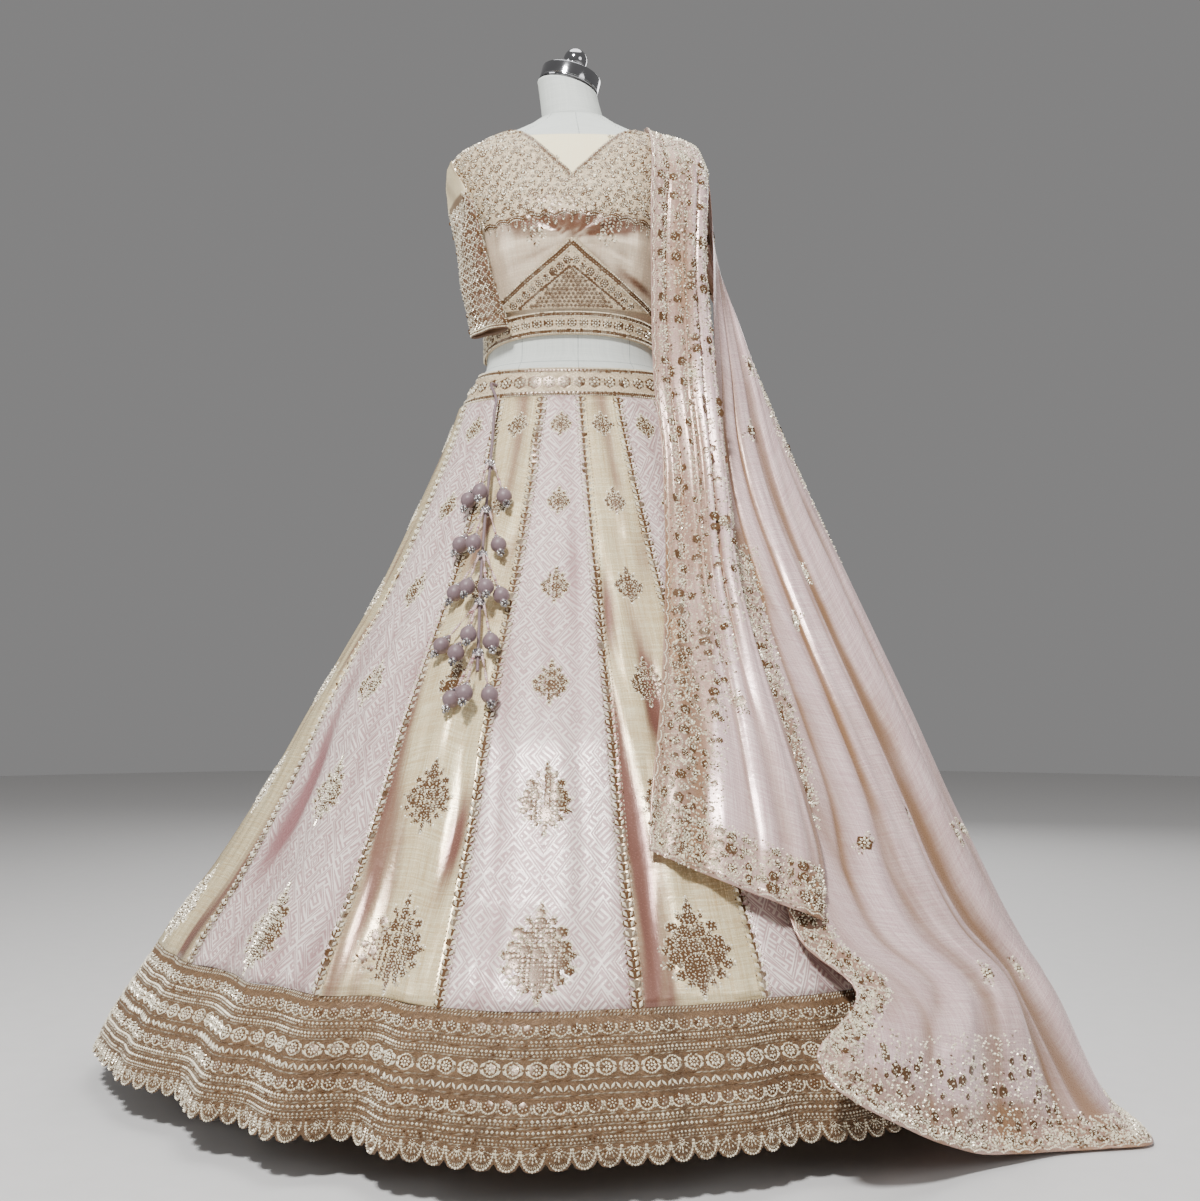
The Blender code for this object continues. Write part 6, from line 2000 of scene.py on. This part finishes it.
@dataclass
class Dupatta:
    """The long scarf: its front fall and its side fall, with borders and small motifs."""

    clearance: float = 0.005
    thick: float = 0.0012
    times: int = 6
    sleeve_spread: float = 24.0
    # Cloth for each scattered bead of a border, in square metres
    scatter_area: float = 0.000027
    # Borders of each fall: edge, width, share of the edge where it ends, seed
    borders: ClassVar[dict] = {
        "front": ((Side.LEFT, 0.078, 1.0, 1), (Side.BOTTOM, 0.070, 1.0, 2)),
        "side": ((Side.BOTTOM, 0.060, 1.0, 3), (Side.LEFT, 0.052, 0.55, 4), (Side.RIGHT, 0.052, 1.0, 5)),
    }
    # Small motifs of each fall: shares of the way across and up
    spots: ClassVar[dict] = {
        "front": ((0.62, 0.22), (0.80, 0.42), (0.58, 0.58), (0.84, 0.72), (0.55, 0.86)),
        "side": ((0.30, 0.80), (0.66, 0.84), (0.38, 0.62), (0.56, 0.68), (0.80, 0.66), (0.30, 0.46),
                 (0.50, 0.50), (0.72, 0.48), (0.90, 0.52), (0.22, 0.30), (0.42, 0.32), (0.60, 0.30),
                 (0.80, 0.30), (0.34, 0.17), (0.54, 0.16), (0.72, 0.16), (0.90, 0.20)),
    }

    def body_radius(self, place: Array, z: Array) -> Array:
        """Outer radius of what it lies on."""
        near = np.abs(place - SLEEVES(z, 2)) <= self.sleeve_spread
        worn = (z >= SLEEVE_RINGS[0][0]) & (z <= SLEEVE_RINGS[-1][0]) & near
        sleeve = np.where(worn, 2.0 * SLEEVES(z, 4) + SLEEVES(z, 5), 0.0)
        above = FORM.radius(place, z) + BAND_CLOTH + CLOTH + sleeve
        return np.where(z > SKIRT_TOP_Z, above, SKIRT.radius(place, z) + SKIRT_CLOTH)

    def folds_out(self, folds: Sequence, number: Array, share: Array) -> Array:
        """How far the main folds push a fall out, by row and share of the way across."""
        return sum(height * np.clip((number - first) / 8.0, 0.0, 1.0) * bump(share - at, half)
                   for at, half, height, first in folds)

    def fall(self, rows: Sequence, folds: Sequence, columns: int) -> Array:
        """The main form of a fall, a row of points for each row of its table."""
        data = np.array(rows)
        share = np.linspace(0.0, 1.0, columns + 1)
        number = np.arange(len(rows))[:, None]
        z = lerp(data[:, 0:1], data[:, 3:4], share)
        place = lerp(data[:, 1:2], data[:, 4:5], share)
        radius = lerp(data[:, 2:3], data[:, 5:6], share * share * (3.0 - 2.0 * share))
        reach = self.folds_out(folds, number, share)
        full = np.maximum(radius + reach, self.body_radius(place, z) + self.clearance)
        radius = np.where(number > 0, full, radius)
        return polar(place, radius, z)

    def crease(self, grid: Array, creases: Sequence, rows: int) -> tuple[Array, Array]:
        """Adds the fine creases to a smoothed grid, and finds how far they push each point in."""
        share = np.linspace(0.0, 1.0, grid.shape[1])[None]
        number = np.linspace(0.0, rows, grid.shape[0])[:, None]
        reach = np.zeros(grid.shape[:2])
        for at, half, height, first, last in creases:
            fade = np.clip((number - first) / 3.0, 0.0, 1.0) * np.clip((last + 1.0 - number) / 3.0, 0.0, 1.0)
            wander = 0.012 * np.sin(number * 0.9 + at * 40.0)
            reach = reach + height * fade * bump(share - at - wander, half)
        return grid - grid_normals(grid) * reach[..., None], reach

    def build(self) -> None:
        """Makes and dresses all its pieces."""
        finish = DUPATTA.material()
        front = self.fall(FRONT_FALL_ROWS, FRONT_FALL_FOLDS, 12)
        back = self.fall(SIDE_FALL_ROWS, SIDE_FALL_FOLDS, 21)
        edge_rows = np.array(SIDE_FALL_EDGE)
        share = np.linspace(0.0, 1.0, 22)
        edge = np.column_stack([np.interp(share, edge_rows[:, 0], edge_rows[:, k]) for k in (1, 2, 3)])
        bend = lerp(back[-1], edge, 0.55)
        bend[:, 2] = lerp(back[-1][:, 2], edge[:, 2], 0.80)
        back = np.concatenate([back, bend[None], edge[None]])
        beads = Beadwork(71)
        for name, grid, folds, creases in (
            ("front", front, FRONT_FALL_FOLDS, FRONT_FALL_CREASES),
            ("side", back, SIDE_FALL_FOLDS, SIDE_FALL_CREASES),
        ):
            rows = len(grid) - 1
            fine, reach = self.crease(refine(grid, self.times), creases, rows)
            fine[..., 2] = np.maximum(fine[..., 2], 0.004)
            across = np.linspace(0.0, 1.0, fine.shape[1])[None]
            number = np.linspace(0.0, rows, fine.shape[0])[:, None]
            main = self.folds_out(folds, number, across)
            # Painted shade in the troughs of the main folds and the fine creases
            shade_and_ground = np.clip(0.22 - (main - 0.004) / 0.030 - reach / 0.008, 0.0, 1.0)
            inward = run_length_grid(fine, 1)
            upward = run_length_grid(fine[::-1], 0)[::-1]
            reaches = [(inward, 0.076), (upward, 0.066 if name == "front" else 0.058)]
            if name == "side":
                left = np.where(upward < 0.55 * upward.max(), inward, 1.0)
                reaches = [(left, 0.050), reaches[1], (inward[:, -1:] - inward, 0.050)]
            # The worked borders are mixed towards the shade colour: a darker ground, partly thread and partly
            # painted shade between the beads
            worked = np.max([np.clip((wide - away) / 0.008, 0.0, 1.0) for away, wide in reaches], axis=0)
            shade_and_ground = np.maximum(shade_and_ground, 0.56 * worked)
            piece = cloth(f"dupatta_{name}_cloth", [fine[::-1]], self.thick, folds=[shade_and_ground[::-1]])
            dress(piece, finish, [f"dupatta_{name}_fall"])
            area = cloth_area(fine)
            face = grid_surface(fine[::-1])
            size = (round(float(run_length(fine[-1])[-1]), 3), round(face.length(Side.LEFT), 3))
            log.info("dupatta %s fall: %.3f m2, %s", name, area, size)
            for side, width, end, seed in self.borders[name]:
                self.work_border(beads, face, side, width, end, seed)
            self.work_field(beads, face, name)
        beads.piece("dupatta_beadwork", GOLD_BEADS.material(), "dupatta_tissue")

    def work_border(self, beads: Beadwork, face: Surface, side: Side, width: float, end: float,
                    seed: int) -> None:
        """Curls, flowers and sprigs along an edge, with a beaded scallop line.

        Args:
            beads: where the beads go.
            face: the cloth.
            side: the edge.
            width: how far in the border goes.
            end: share of the edge where it ends, from the hem up.
            seed: seed of its unevenness.
        """
        random = np.random.default_rng(seed)
        chart = face.border(side)
        length = face.length(side)

        def sew(run: Array, deep: Array, motif: Array, turn: Array, size: Array = 1.0) -> None:
            """Sews motifs at metres along the edge and in from it."""
            run, deep, turn = np.broadcast_arrays(run, deep, turn)
            if side is Side.BOTTOM:
                beads.sew(chart, run, deep, motif, turn, size)
            elif side is Side.LEFT:
                beads.sew(chart, deep, run, motif, turn - np.pi / 2.0, size)
            else:
                beads.sew(chart, -deep, run, motif, turn + np.pi / 2.0, size)

        high = end * length
        repeat = 0.046
        count = max(1, int(round(high / repeat)))
        spots = (np.arange(count) + 0.5) * high / count
        share = np.linspace(-0.5, 0.5, 16)
        for gap, tone, lean in ((0.0018, 0.9, 0.3), (0.0058, 0.5, -0.3)):
            line = [(x * repeat, gap + 0.0035 * abs(math.sin(math.pi * (x + 0.5) * 2.0))) for x in share]
            sew(spots, 0.0, along(line, 0.0033, 0.0042, 0.0026, tone, lean)[:-1], 0.0)
        first = np.concatenate([
            moved(np.concatenate([hoop(0.0094, tone=0.7), flower(0.0066, 7, 0.85)]), -0.012, 0.0205),
            moved(curl(0.0074, 0.65, 1.4), 0.0085, 0.0150, 0.5),
            moved(flower(0.0048, 6, 0.8), 0.0190, 0.0215),
            moved(curl(0.0064, 0.6, 1.2), 0.0080, 0.0300, 2.6),
            moved(flower(0.0040, 5, 0.9), -0.0210, 0.0335),
            moved(sprig(0.0130, 3, 0.7), -0.0080, 0.0330, 0.3),
            moved(sprig(0.0110, 3, 0.7), 0.0185, 0.0300, -0.5),
            moved(cluster(0.0036, 0.9), -0.0020, 0.0395),
            moved(flower(0.0044, 6, 0.85), 0.0070, width - 0.0080),
            moved(sprig(0.0100, 3, 0.6), -0.0160, width - 0.0130, -0.4),
        ])
        for deep in np.arange(0.0440, width - 0.0100, 0.0150):
            first = np.concatenate([
                first, moved(curl(0.0066, 0.6, 1.2), -0.0150, deep, 1.0),
                moved(flower(0.0052, 6, 0.8), 0.0020, deep + 0.004),
                moved(sprig(0.012, 3, 0.6), 0.0160, deep - 0.004, 0.6),
            ])
        for number, motif in enumerate((first, mirrored(first))):
            chosen = spots[number::2]
            if len(chosen):
                sew(chosen, random.uniform(-0.0008, 0.0008, len(chosen)), motif, 0.0)
        scatter = int(high * width / self.scatter_area)
        deep = width * (0.12 + 0.92 * random.random(scatter) ** 1.15)
        run = random.uniform(0.0, high, scatter)
        sew(run, deep, gem(0.0038, 0.0034, 0.95), random.uniform(0.0, 3.0, scatter))

    def work_field(self, beads: Beadwork, face: Surface, name: str) -> None:
        """Small scattered motifs over the plain cloth."""
        u, v = np.array(self.spots[name]).T
        parts = [flower(0.0090, 8, 1.0)]
        for turn in np.radians((20.0, 160.0, 200.0, 340.0)):
            foot = 0.0055 * math.cos(turn), 0.0055 * math.sin(turn)
            parts.append(moved(sprig(0.012, 3, 0.65), *foot, turn - math.pi / 2.0))
        beads.sew(face, u, v, np.concatenate(parts), u * 3.0)


def main() -> None:
    """Builds the whole object, piece by piece."""
    logging.basicConfig(level=logging.INFO, format="%(message)s")
    for part in (Studio(), WaistTie(), DressForm(), Choli(), Lehenga(), Dupatta()):
        log.info("building %s", type(part).__name__)
        part.build()
    made = [item for item in bpy.data.objects if item.type == "MESH" and item.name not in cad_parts]
    count = sum(len(face.vertices) - 2 for item in made for face in item.data.polygons)
    log.info("triangles before walls: %d", count)


if __name__ == "__main__":
    main()
